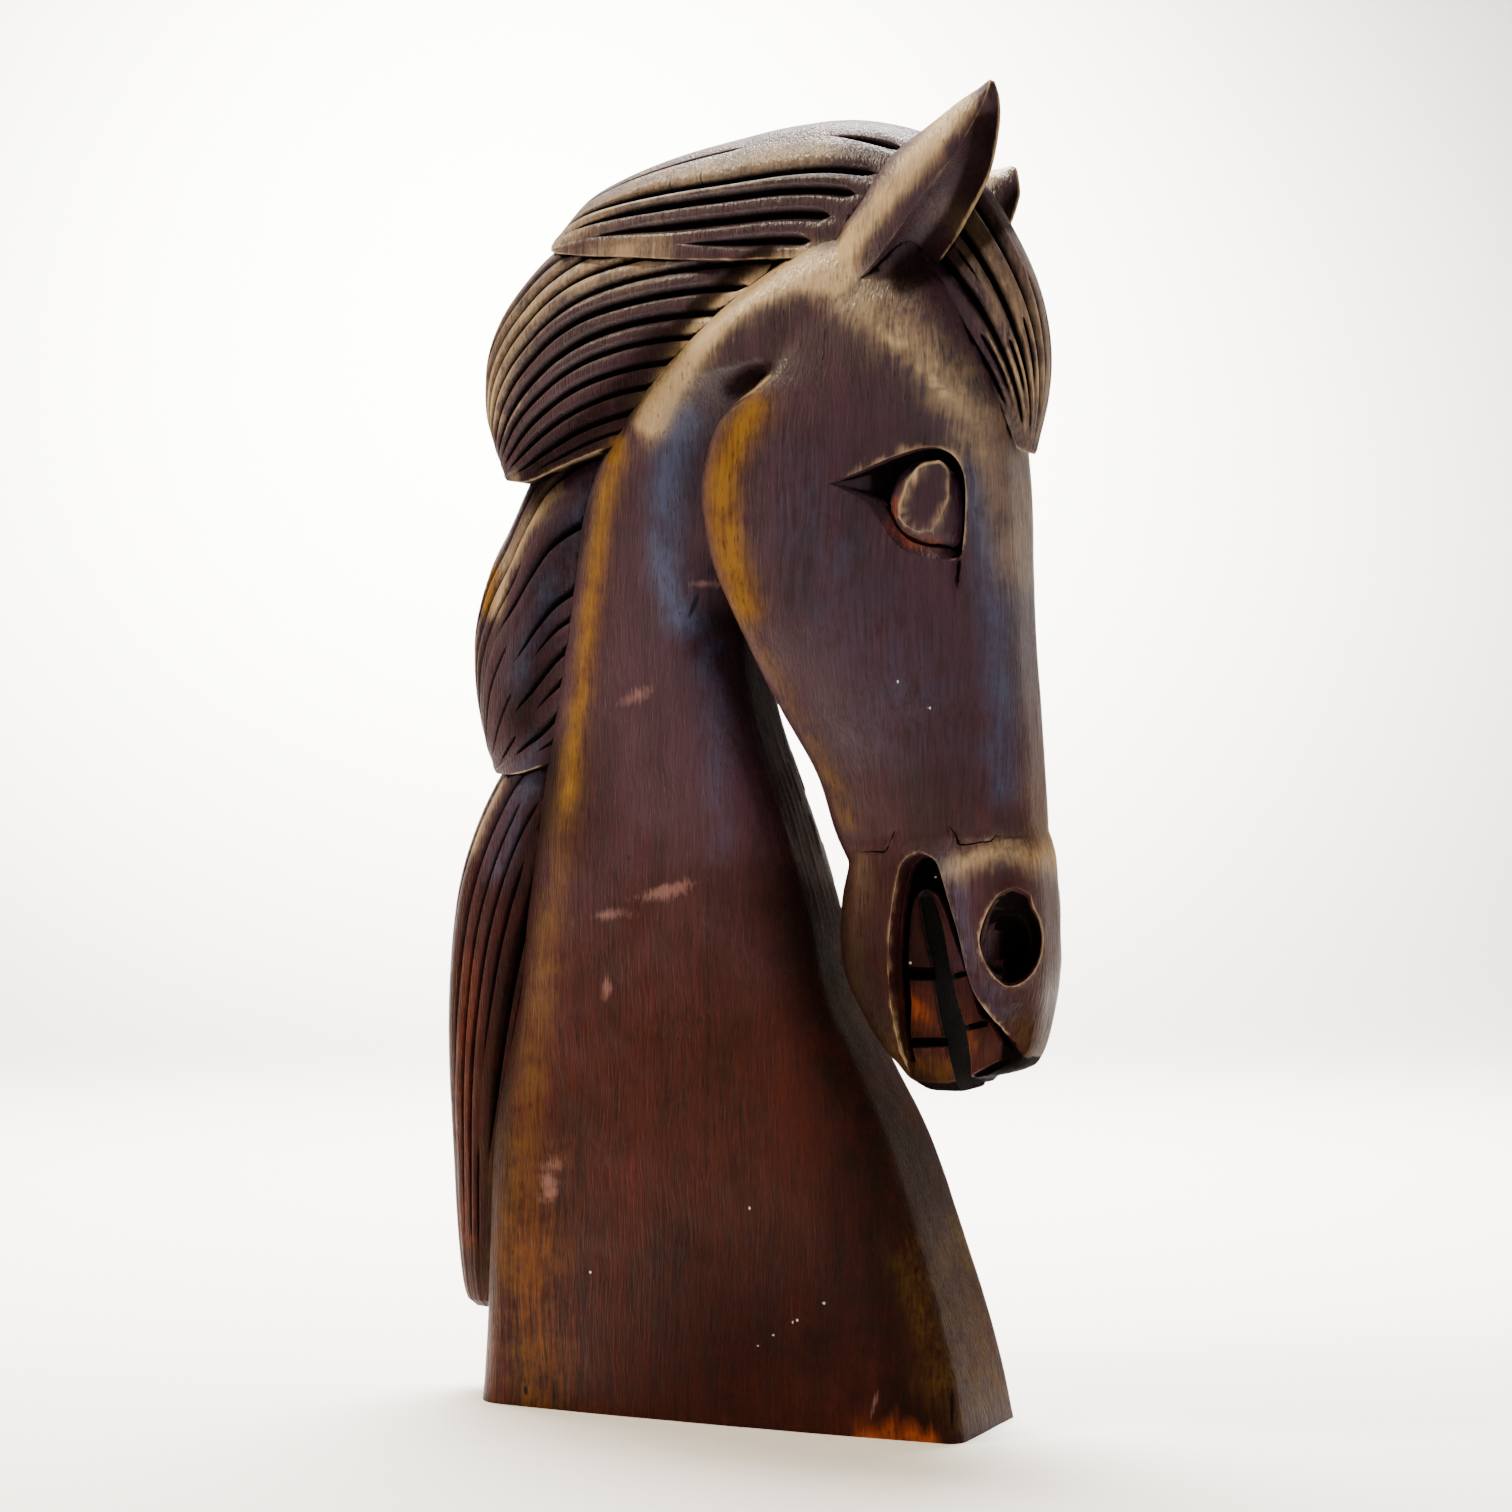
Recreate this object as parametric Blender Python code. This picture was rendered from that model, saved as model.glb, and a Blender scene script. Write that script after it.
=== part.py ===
# A horse's head and neck carved from one block of hardwood, standing on the foot of its neck.
# Metres, +Z up. The horse looks along +X. The origin is the middle of the flat underside.
import math

import bmesh
import bpy
import numpy as np

# Driving sizes
HEIGHT = 0.563          # floor to the tip of the longer ear
FOOT_LENGTH = 0.234     # underside, front to back
FOOT_WIDTH = 0.074      # underside, side to side
NECK_WIDTH = 0.070
HEAD_WIDTH = 0.084      # across the cheeks
MUZZLE_WIDTH = 0.064
MANE_WIDTH = 0.054      # across the mane where it leaves the neck
STRAND_PITCH = 0.0096   # one strand of hair to the next
GROOVE_DEPTH = 0.0036
EAR_THICKNESS = 0.026
EAR_HOLLOW_DEPTH = 0.011
MOUTH_GAP = 0.0085      # between the teeth, where the block is cut right through
MOUTH_DEPTH = 0.0075    # how far the teeth lie below the lips
TOOTH_CUT = 0.0032      # width and depth of the cut between two teeth
NOSTRIL_LENGTH = 0.040
NOSTRIL_WIDTH = 0.0265
NOSTRIL_DEPTH = 0.013
EYE_DEPTH = 0.0075
EYEBALL = 0.0165        # radius of the eyeball's disc
BODY_CELL = 0.0034      # grid that fuses the rounded masses
BODY_FACES = 2500       # triangles kept on the fused masses

WOOD = (0.095, 0.028, 0.016, 1.0)

# The profile is drawn on a head 563 mm tall, and every place in it is a share of the height.
DRAWN_HEIGHT = 563.0
RING_POINTS = 64         # points round a slice of a mass
CURVE_STEPS = 12         # short steps between two given points of a curve

# Level slices of the rounded masses. Each row: height, back, front; half widths at the back, middle
# and front as shares of the mass's own half width; then for the back and the front corner how long
# it is rounded for, and what share of the end stays flat.
NECK = [
    (-14, -1.00, 1.00, 0.96, 1.05, 0.94, 13, 0.60, 5, 0.86),
    (36, -115, 107, 0.96, 1.05, 0.94, 16, 0.50, 6, 0.82),
    (112, -114, 82, 0.95, 1.04, 0.93, 24, 0.40, 9, 0.74),
    (150, -108, 64, 0.95, 1.04, 0.92, 28, 0.36, 11, 0.66),
    (182, -102, 47, 0.95, 1.03, 0.92, 30, 0.34, 12, 0.62),
    (219, -98, 39, 0.96, 1.02, 0.92, 30, 0.30, 14, 0.50),
    (260, -92, 27, 0.97, 1.01, 0.92, 30, 0.30, 15, 0.45),
    (308, -84, 10, 0.97, 0.99, 0.93, 30, 0.30, 16, 0.40),
    (350, -77, 6, 0.97, 0.95, 0.94, 28, 0.30, 16, 0.40),
    (396, -69, 20, 0.98, 0.90, 0.94, 26, 0.30, 16, 0.40),
    (425, -55, 45, 0.98, 0.90, 0.94, 26, 0.30, 16, 0.40),
    (450, -35, 70, 0.98, 0.94, 0.94, 26, 0.30, 18, 0.40),
    (475, -8, 84, 0.95, 0.96, 0.88, 26, 0.25, 22, 0.30),
    (497, 22, 92, 0.80, 0.88, 0.78, 26, 0.20, 24, 0.20),
    (512, 45, 88, 0.60, 0.65, 0.60, 20, 0.10, 20, 0.10),
]
HEAD = [
    (512, 50, 90, 0.36, 0.46, 0.36, 18, 0.10, 18, 0.10),
    (498, 42, 104, 0.55, 0.68, 0.52, 20, 0.20, 22, 0.20),
    (475, 34, 114, 0.74, 0.86, 0.62, 16, 0.40, 20, 0.25),
    (447, 23, 122, 0.88, 0.94, 0.66, 12, 0.55, 16, 0.30),
    (431, 4, 126, 0.94, 0.97, 0.66, 10, 0.60, 14, 0.35),
    (416, -3, 127, 0.97, 0.99, 0.64, 10, 0.60, 13, 0.38),
    (399, -6, 128.5, 0.99, 1.00, 0.62, 10, 0.60, 13, 0.40),
    (382, -4, 129.5, 0.99, 1.00, 0.59, 10, 0.60, 13, 0.40),
    (365, 0, 130, 0.97, 0.98, 0.56, 10, 0.60, 13, 0.40),
    (335, 13, 131.5, 0.91, 0.93, 0.53, 10, 0.55, 13, 0.40),
    (305, 28, 134, 0.80, 0.84, 0.51, 10, 0.50, 13, 0.40),
    (277, 43, 136, 0.68, 0.74, 0.50, 10, 0.45, 13, 0.40),
    (250, 51, 137, 0.60, 0.68, 0.52, 10, 0.40, 13, 0.40),
    (225, 64, 136, 0.55, 0.64, 0.50, 10, 0.40, 13, 0.40),
]
MUZZLE = [
    (258, 66, 130, 0.55, 0.66, 0.50, 10, 0.30, 12, 0.30),
    (250, 54, 139, 0.82, 0.92, 0.76, 14, 0.35, 18, 0.30),
    (240, 56, 141, 0.88, 0.98, 0.84, 16, 0.35, 22, 0.26),
    (225, 53, 142, 0.90, 1.00, 0.88, 16, 0.35, 24, 0.24),
    (208, 52, 143, 0.90, 1.00, 0.86, 16, 0.35, 24, 0.22),
    (190, 55, 143, 0.88, 0.98, 0.82, 16, 0.35, 24, 0.22),
    (175, 62, 140, 0.82, 0.93, 0.76, 16, 0.30, 22, 0.22),
    (163, 69, 138, 0.74, 0.86, 0.70, 14, 0.30, 18, 0.22),
    (155, 76, 131, 0.64, 0.76, 0.62, 12, 0.25, 14, 0.22),
    (150, 80, 120, 0.58, 0.70, 0.56, 12, 0.25, 12, 0.22),
    (144, 88, 114, 0.38, 0.44, 0.38, 10, 0.20, 8, 0.20),
]

# Ear: its middle line along and up, half its breadth, then its thickness and how far out from the
# middle it stands, as shares of the ear's thickness and of the head's half width.
EAR = [
    (56, 472, 17.0, 0.84, 0.36),
    (63, 485, 20.5, 0.94, 0.47),
    (73, 493, 21.8, 1.00, 0.57),
    (84.5, 504.5, 22.0, 1.00, 0.64),
    (97.4, 519.9, 22.2, 0.92, 0.70),
    (110.8, 533.4, 18.4, 0.76, 0.76),
    (121.4, 547.8, 11.8, 0.50, 0.81),
    (126.4, 556, 6.6, 0.32, 0.84),
    (129, 563, 1.2, 0.12, 0.85),
]
EAR_STEPS = 11           # rings along an ear
EAR_RIM = 78             # degrees round the ear's section where the back turns into the hollow
EAR_FRONT = -12          # degrees round it where the hollow ends at the front edge
FAR_EAR_SHARE = 0.80     # the far ear is shorter, with a blunt tip

# Each lock of the mane: its outline along the crest, its lower edge, how wide it is at its root,
# middle and tip as shares of the mane's half width.
LOCKS = {
    "crown": dict(
        crest=[(100, 541), (84, 551), (56, 558), (28, 558), (0, 554), (-27, 549), (-52, 542),
               (-72, 533), (-84, 521), (-91, 511)],
        edge=[(84, 486), (56, 494), (32, 497), (6, 498), (-20, 500), (-45, 503), (-66, 505), (-86, 508)],
        wide=(1.00, 0.98, 0.62)),
    "upper": dict(
        crest=[(40, 528), (0, 528), (-40, 526), (-70, 521), (-91, 511), (-106, 498), (-118, 483),
               (-125, 466), (-126, 448), (-123, 432), (-113, 410)],
        edge=[(-22, 416), (-36, 420), (-50, 420), (-66, 416), (-82, 411), (-97, 407), (-111, 408)],
        wide=(0.96, 0.94, 0.50)),
    "middle": dict(
        crest=[(-30, 444), (-62, 440), (-88, 428), (-102, 410), (-113, 389), (-124, 369), (-131, 345),
               (-131, 322), (-127, 300), (-119, 279)],
        edge=[(-56, 292), (-72, 286), (-90, 280), (-104, 277), (-116, 277)],
        wide=(0.88, 0.88, 0.48)),
    "lower": dict(
        crest=[(-50, 312), (-84, 306), (-108, 290), (-124, 268), (-136, 241), (-142, 215), (-145, 180),
               (-145, 145), (-143, 110), (-141, 75), (-138, 48), (-134, 37)],
        edge=[(-62, 244), (-70, 218), (-74, 190), (-79, 160), (-88, 125), (-96, 90), (-100, 60), (-102, 39)],
        wide=(0.82, 0.86, 0.62)),
}
FORELOCK = dict(
    crest=[(86, 543), (99, 538), (112, 527), (125, 506), (134, 487), (139, 470), (141, 452), (139.5, 434),
           (134, 412)],
    edge=[(78, 480), (92, 474), (102, 465), (112, 452), (120, 440), (126, 428), (130, 413)],
    wide=(0.92, 0.80, 0.30))
LOCK_ROUND = 2.3         # squareness of a lock's cross-section
LOCK_STEPS = 10          # rings along a lock
STRAND_COLUMNS = 3       # columns of faces on one strand
NARROW_GROOVE = 0.42     # a groove is no deeper than this share of its strand's breadth

# Mouth, in the profile: the hollow between the lips, the gap between the jaws, and the cuts that
# part the teeth, each from one end to the other.
MOUTH_REAR = [(95, 246), (88, 243), (83, 237), (81, 217), (79, 200), (80, 185), (82, 171), (85, 155),
              (88, 136)]
MOUTH_FRONT = [(144, 136), (139, 155), (130, 164), (127, 172), (118, 184), (113, 196), (106, 224), (100, 239)]
GAP_LINE = [(96, 231), (100, 199), (105.5, 178), (110.5, 155), (113, 136)]
TEETH_CUTS = [((86, 193), (97, 194)), ((87, 165), (103, 165)), ((104, 195), (113, 195)),
              ((108, 172), (122, 173)), ((115, 151), (132, 161))]

EYE_OUTLINE = [(55, 400), (67, 403), (80, 409), (92, 413), (102, 415), (110, 412), (116, 406), (119, 396),
               (119, 385), (115, 374), (104, 370), (92, 374), (83, 382), (79, 390), (68, 396)]
EYE_CENTRE = (101, 391)
EYE_RAMP = 28            # how far behind the eye its hollow starts to deepen
LIP_SKIN = 0.90          # the lips' half width as a share of the muzzle's
NOSTRIL_CENTRE = (133, 209)


def mm(value):
    """A drawn millimetre as metres on a head of this height."""
    return value * HEIGHT / DRAWN_HEIGHT


def curve_through(points, count, by_first_column=False):
    """Even points on a smooth curve through the given ones."""
    knots = np.array(points, float)
    ends = np.vstack([2 * knots[0] - knots[1], knots, 2 * knots[-1] - knots[-2]])
    fine = []
    for a, b, c, d in zip(ends, ends[1:], ends[2:], ends[3:]):
        for t in np.linspace(0, 1, CURVE_STEPS, endpoint=False):
            square, cube = t * t, t * t * t
            fine.append(0.5 * (2 * b + (c - a) * t + (2 * a - 5 * b + 4 * c - d) * square
                               + (3 * b - a - 3 * c + d) * cube))
    fine.append(knots[-1])
    fine = np.array(fine)
    if by_first_column:
        run = np.abs(fine[:, 0] - fine[0, 0])
    else:
        run = np.concatenate([[0], np.cumsum(np.linalg.norm(np.diff(fine[:, :2], axis=0), axis=1))])
    wanted = np.linspace(0, run[-1], count)
    return np.column_stack([np.interp(wanted, run, column) for column in fine.T])


def solid(name, points, faces):
    """A closed solid from points and faces, with its faces pointing out."""
    mesh = bpy.data.meshes.new(name)
    mesh.from_pydata([tuple(p) for p in points], [], [tuple(f) for f in faces])
    work = bmesh.new()
    work.from_mesh(mesh)
    bmesh.ops.remove_doubles(work, verts=work.verts, dist=mm(0.02))
    bmesh.ops.recalc_face_normals(work, faces=work.faces)
    work.to_mesh(mesh)
    work.free()
    piece = bpy.data.objects.new(name, mesh)
    bpy.context.scene.collection.objects.link(piece)
    return piece


def loft(name, rings):
    """A closed solid through rings that all have the same number of points."""
    count = len(rings[0])
    points = np.concatenate(rings)
    faces = []
    for ring in range(len(rings) - 1):
        for k in range(count):
            a = ring * count + k
            b = ring * count + (k + 1) % count
            faces.append((a, b, b + count, a + count))
    faces.append(range(count))
    faces.append(range((len(rings) - 1) * count, len(rings) * count))
    return solid(name, points, faces)


def half_width_at(row, half_width, x):
    """How far the skin of a slice stands out from the middle plane, at a place along it."""
    back, front, wide_back, wide_middle, wide_front = row[1:6]
    turn_back, flat_back, turn_front, flat_front = row[6:]
    along = np.clip(2 * (x - back) / (front - back) - 1, -1, 1)
    wide = wide_middle + (wide_front - wide_back) / 2 * along
    wide = wide + ((wide_front + wide_back) / 2 - wide_middle) * along * along
    for gap, turn, flat in ((x - back, turn_back, flat_back), (front - x, turn_front, flat_front)):
        short = np.clip(1 - gap / turn, 0, 1)
        wide = wide * (flat + (1 - flat) * np.sqrt(1 - short * short))
    return half_width * wide


def slice_ring(row, half_width, count=RING_POINTS):
    """One level slice of a mass, as evenly spaced points round it."""
    height, back, front = row[:3]
    turn = np.linspace(0, math.pi, 240)
    x = (front + back) / 2 + (front - back) / 2 * np.cos(turn)
    side = np.column_stack([x, half_width_at(row, half_width, x)])
    outline = np.concatenate([[(front, 0)], side, [(back, 0)], side[::-1] * (1, -1), [(front, 0)]])
    run = np.concatenate([[0], np.cumsum(np.linalg.norm(np.diff(outline, axis=0), axis=1))])
    wanted = np.linspace(0, run[-1], count, endpoint=False)
    return np.column_stack([np.interp(wanted, run, outline[:, 0]), np.interp(wanted, run, outline[:, 1]),
                            np.full(count, height)])


def row_at(rows, height):
    """The slice of a mass at any height."""
    fine = curve_through(rows, 200, by_first_column=True)
    return fine[np.argmin(np.abs(fine[:, 0] - height))]


def mass(name, rows, half_width, levels):
    rings = []
    for row in curve_through(rows, levels, by_first_column=True):
        rings.append(slice_ring(row, half_width))
    return loft(name, rings)


def neck_rows():
    """The neck's rows in metres, with its foot at the size of the underside."""
    rows = in_metres(NECK)
    rows[0] = (rows[0][0], NECK[0][1] * FOOT_LENGTH / 2, NECK[0][2] * FOOT_LENGTH / 2) + rows[0][3:]
    foot = FOOT_WIDTH / NECK_WIDTH
    for index, share in ((0, foot), (1, 1 + (foot - 1) * 0.7), (2, 1 + (foot - 1) * 0.35)):
        row = rows[index]
        rows[index] = row[:3] + tuple(wide * share for wide in row[3:6]) + row[6:]
    return rows


def in_metres(rows):
    shown = []
    for height, back, front, *wide, turn_back, flat_back, turn_front, flat_front in rows:
        corners = (mm(turn_back), flat_back, mm(turn_front), flat_front)
        shown.append((mm(height), mm(back), mm(front), *wide, *corners))
    return shown


def settle(piece):
    """Gives the object the mesh that its modifiers make."""
    bpy.context.view_layer.update()
    shaped = piece.evaluated_get(bpy.context.evaluated_depsgraph_get())
    mesh = bpy.data.meshes.new_from_object(shaped)
    piece.modifiers.clear()
    piece.data = mesh
    return piece


def join_solids(piece, others, operation="UNION"):
    for other in others:
        tool = piece.modifiers.new(operation.lower(), "BOOLEAN")
        tool.operation = operation
        tool.object = other
        settle(piece)
        bpy.data.objects.remove(other)
    return piece


def fused(name, masses, cell, smooth_steps):
    """One skin over several overlapping masses."""
    work = bmesh.new()
    for part in masses:
        work.from_mesh(part.data)
        bpy.data.objects.remove(part)
    mesh = bpy.data.meshes.new(name)
    work.to_mesh(mesh)
    work.free()
    piece = bpy.data.objects.new(name, mesh)
    bpy.context.scene.collection.objects.link(piece)
    skin = piece.modifiers.new("skin", "REMESH")
    skin.mode = "VOXEL"
    skin.voxel_size = cell
    soften = piece.modifiers.new("soften", "SMOOTH")
    soften.factor = 0.5
    soften.iterations = smooth_steps
    return settle(piece)


def lock_points(shape, steps, per_strand, half_width):
    """A grid of points on one side of a lock: rings from root to tip, points from crest to edge."""
    crest = curve_through([(mm(x), mm(z)) for x, z in shape["crest"]], steps)
    edge = curve_through([(mm(x), mm(z)) for x, z in shape["edge"]], steps)
    middle_height = np.linalg.norm(crest[steps // 2] - edge[steps // 2])
    strands = max(2, round((middle_height + 0.6 * half_width) / STRAND_PITCH))
    columns = strands * per_strand + 1
    grid = np.zeros((steps, columns, 3))
    for step in range(steps):
        share = step / (steps - 1)
        root, middle, tip = shape["wide"]
        wide = half_width * (root * (1 - share) * (1 - 2 * share) + 4 * middle * share * (1 - share)
                             + tip * share * (2 * share - 1))
        turn = np.linspace(0, math.pi / 2, 60)
        out = np.clip(np.sin(turn), 0, 1) ** (2 / LOCK_ROUND)
        down = 1 - np.clip(np.cos(turn), 0, 1) ** (2 / LOCK_ROUND)
        line = np.column_stack([crest[step, 0] + (edge[step, 0] - crest[step, 0]) * down, -wide * out,
                                crest[step, 1] + (edge[step, 1] - crest[step, 1]) * down])
        run = np.concatenate([[0], np.cumsum(np.linalg.norm(np.diff(line, axis=0), axis=1))])
        wanted = np.linspace(0, run[-1], columns)
        for axis in range(3):
            grid[step, :, axis] = np.interp(wanted, run, line[:, axis])
    return grid


def lock(name, shape, half_width, steps=LOCK_STEPS, per_strand=STRAND_COLUMNS):
    """A lock of hair: a bundle of strands that wraps over the crest and runs to a tip."""
    grid = lock_points(shape, steps, per_strand, half_width)
    columns = grid.shape[1]
    along = np.gradient(grid, axis=0)
    across = np.gradient(grid, axis=1)
    normal = np.cross(along, across)
    normal /= np.maximum(np.linalg.norm(normal, axis=2, keepdims=True), 1e-9)
    outward = np.array([0.0, -1.0, 0.0])
    if np.sum(normal[steps // 2, columns // 2] * outward) < 0:
        normal = -normal
    pitch = np.linalg.norm(across, axis=2) * per_strand
    for column in range(columns):
        if column % per_strand == 0 and 0 < column < columns - 1:
            depth = np.minimum(GROOVE_DEPTH, NARROW_GROOVE * pitch[:, column])
            grid[:, column] -= normal[:, column] * depth[:, None]
    rings = []
    for ring in grid:
        far = ring[1:] * np.array([1, -1, 1])
        rings.append(np.concatenate([ring[::-1], far]))
    rings[-1] = rings[-1].mean(axis=0) + (rings[-1] - rings[-1].mean(axis=0)) * 0.9
    return loft(name, rings)


def prism(name, outline, low, high):
    """The profile's outline pushed across, from one distance out from the middle to another."""
    count = len(outline)
    points = [(mm(x), low, mm(z)) for x, z in outline] + [(mm(x), high, mm(z)) for x, z in outline]
    faces = [(k, (k + 1) % count, (k + 1) % count + count, k + count) for k in range(count)]
    faces += [range(count), range(count, 2 * count)]
    return solid(name, points, faces)


def ear_section(half, thick):
    """A round back from the rim round to the front edge, then a hollow that scoops back to the rim."""
    ring = []
    for k in range(10):
        angle = math.radians(EAR_RIM + (360 + EAR_FRONT - EAR_RIM) * k / 9)
        ring.append((half * math.cos(angle), thick * math.sin(angle)))
    front, rim = np.array(ring[-1]), np.array(ring[0])
    chord = rim - front
    inward = np.array([-chord[1], chord[0]]) / np.linalg.norm(chord)
    for k in range(1, 5):
        t = k / 5
        sag = 4 * t * (1 - t) * min(EAR_HOLLOW_DEPTH, 0.34 * half)
        ring.append(tuple(front + chord * t + inward * sag))
    return ring


def ear(side, share):
    """An ear that leans forward, scooped out towards the front and the side."""
    rows = curve_through([(mm(x), mm(z), mm(half), thick, out) for x, z, half, thick, out in EAR], EAR_STEPS)
    root = rows[0, :2].copy()
    rows[:, :2] = root + (rows[:, :2] - root) * share
    rows[:, 2] *= share ** 0.5
    if share < 1:
        rows = rows[:-1]
    rings = []
    last = len(rows) - 1
    for index, (x, z, half, thick, out) in enumerate(rows):
        heading = rows[min(index + 1, last), :2] - rows[max(index - 1, 0), :2]
        heading = heading / np.linalg.norm(heading)
        ring = []
        for forward, across in ear_section(half, thick * EAR_THICKNESS / 2):
            beside = side * (out * HEAD_WIDTH / 2 + across)
            ring.append((x + forward * heading[1], beside, z - forward * heading[0]))
        rings.append(np.array(ring))
    return loft("ear", rings)


def pit(name, outline, rows, half_width, side, depth):
    """A cutter that sinks an outline of the profile to a depth that follows the skin."""
    inner = []
    outer = []
    for (x, z), sunk in zip(outline, depth):
        skin = float(half_width_at(row_at(rows, mm(z)), half_width, mm(x)))
        inner.append((mm(x), side * (skin - sunk), mm(z)))
        outer.append((mm(x), side * 2 * half_width, mm(z)))
    count = len(outline)
    faces = [(k, (k + 1) % count, (k + 1) % count + count, k + count) for k in range(count)]
    faces += [range(count), range(count, 2 * count)]
    return solid(name, inner + outer, faces)


def mouth_cutters():
    """The hollows between the lips on both sides, and the gap sawn between the jaws."""
    outline = MOUTH_REAR + MOUTH_FRONT
    skin = MUZZLE_WIDTH / 2 * LIP_SKIN
    cutters = []
    for side in (-1, 1):
        low, high = sorted((side * (skin - MOUTH_DEPTH), side * MUZZLE_WIDTH))
        cutters.append(prism("mouth hollow", outline, low, high))
    half = MOUTH_GAP / 2 * DRAWN_HEIGHT / HEIGHT
    narrow = [0.8] + [1.0] * (len(GAP_LINE) - 1)
    left = [(x - half * share, z) for (x, z), share in zip(GAP_LINE, narrow)]
    right = [(x + half * share, z) for (x, z), share in zip(GAP_LINE, narrow)]
    cutters.append(prism("jaw gap", left + right[::-1], -MUZZLE_WIDTH, MUZZLE_WIDTH))
    half = TOOTH_CUT / 2 * DRAWN_HEIGHT / HEIGHT
    for start, end in TEETH_CUTS:
        run = np.array(end, float) - np.array(start, float)
        beside = np.array([-run[1], run[0]]) / np.linalg.norm(run) * half
        corners = [tuple(np.array(place) + offset) for place, offset in
                   ((start, beside), (start, -beside), (end, -beside), (end, beside))]
        for side in (-1, 1):
            low, high = sorted((side * (skin - MOUTH_DEPTH - TOOTH_CUT), side * MUZZLE_WIDTH))
            cutters.append(prism("tooth cut", corners, low, high))
    return cutters


def facing_frame(rows, half_width, place, side):
    """A point on the skin, the direction it faces, and the directions along and up it."""
    x, z = mm(place[0]), mm(place[1])
    row = row_at(rows, z)
    step = mm(4)
    skin = float(half_width_at(row, half_width, x))
    rise = half_width_at(row, half_width, x + step) - half_width_at(row, half_width, x - step)
    slope = float(rise) / (2 * step)
    facing = np.array([-slope, side * 1.0, 0.0])
    facing /= np.linalg.norm(facing)
    beside = np.array([facing[1] * side, -facing[0] * side, 0.0])
    return np.array([x, side * skin, z]), facing, beside, np.array([0.0, 0.0, 1.0])


def oval(frame, distance, wide, tall, count):
    centre, facing, beside, up = frame
    ring = []
    for k in range(count):
        angle = 2 * math.pi * k / count
        spoke = beside * math.cos(angle) * wide + up * math.sin(angle) * tall
        ring.append(centre + facing * distance + spoke)
    return np.array(ring)


def nostril_cutter(side):
    """A tapered oval pit that looks forwards and outwards."""
    frame = facing_frame(in_metres(MUZZLE), MUZZLE_WIDTH / 2, NOSTRIL_CENTRE, side)
    rings = []
    for distance, size in ((-NOSTRIL_DEPTH, 0.66), (0.0, 0.96), (NOSTRIL_DEPTH, 1.1)):
        rings.append(oval(frame, distance, NOSTRIL_WIDTH / 2 * size, NOSTRIL_LENGTH / 2 * size, 16))
    return loft("nostril", rings)


def eye_parts(side):
    """The hollow between the lids, and the flat-faced eyeball that stays in it."""
    rows = in_metres(HEAD)
    tail = EYE_OUTLINE[0][0]
    depth = [EYE_DEPTH * min(1.0, 0.15 + (x - tail) / EYE_RAMP) for x, z in EYE_OUTLINE]
    hollow = pit("eye hollow", EYE_OUTLINE, rows, HEAD_WIDTH / 2, side, depth)
    frame = facing_frame(rows, HEAD_WIDTH / 2, EYE_CENTRE, side)
    rings = []
    for out, size in ((-2.0, 1.0), (-0.80, 1.0), (-0.20, 0.80)):
        rings.append(oval(frame, out * EYE_DEPTH, EYEBALL * size * 0.96, EYEBALL * size, 10))
    return hollow, loft("eyeball", rings)


def wood_material():
    wood = bpy.data.materials.new("stained hardwood")
    wood.use_nodes = True
    shader = wood.node_tree.nodes["Principled BSDF"]
    shader.inputs["Base Color"].default_value = WOOD
    shader.inputs["Roughness"].default_value = 0.42
    shader.inputs["Metallic"].default_value = 0.0
    return wood


def flat_underside(piece):
    """Cuts the foot off level with the floor."""
    work = bmesh.new()
    work.from_mesh(piece.data)
    everything = work.verts[:] + work.edges[:] + work.faces[:]
    cut = bmesh.ops.bisect_plane(work, geom=everything, plane_co=(0, 0, 0), plane_no=(0, 0, -1),
                                 clear_outer=True)
    rim = [item for item in cut["geom_cut"] if isinstance(item, bmesh.types.BMEdge)]
    bmesh.ops.holes_fill(work, edges=rim)
    bmesh.ops.recalc_face_normals(work, faces=work.faces)
    work.to_mesh(piece.data)
    work.free()


def carve():
    masses = [
        mass("neck", neck_rows(), NECK_WIDTH / 2, 80),
        mass("head", in_metres(HEAD), HEAD_WIDTH / 2, 50),
        mass("muzzle", in_metres(MUZZLE), MUZZLE_WIDTH / 2, 26),
    ]
    body = fused("horse_head", masses, BODY_CELL, 3)
    thin = body.modifiers.new("thin", "DECIMATE")
    thin.ratio = min(1.0, BODY_FACES / (2 * len(body.data.polygons)))
    settle(body)
    flat_underside(body)
    cutters = mouth_cutters()
    eyeballs = []
    for side in (-1, 1):
        hollow, eyeball = eye_parts(side)
        cutters += [nostril_cutter(side), hollow]
        eyeballs.append(eyeball)
    join_solids(body, cutters, "DIFFERENCE")
    additions = eyeballs + [ear(-1, 1.0), ear(1, FAR_EAR_SHARE)]
    for name, shape in LOCKS.items():
        additions.append(lock("mane " + name, shape, MANE_WIDTH / 2))
    additions.append(lock("forelock", FORELOCK, MANE_WIDTH / 2))
    join_solids(body, additions)
    body.data.materials.clear()
    body.data.materials.append(wood_material())
    body.data.shade_smooth()
    body.data.set_sharp_from_angle(angle=math.radians(38))
    return body


for old in list(bpy.data.objects):
    bpy.data.objects.remove(old)
carve()
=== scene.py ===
"""The carved horse's head as it looks: one block of stained hardwood, cut with gouges and rubbed with wax."""
import math

import bpy
import numpy as np
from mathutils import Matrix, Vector, noise
from mathutils.bvhtree import BVHTree


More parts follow.
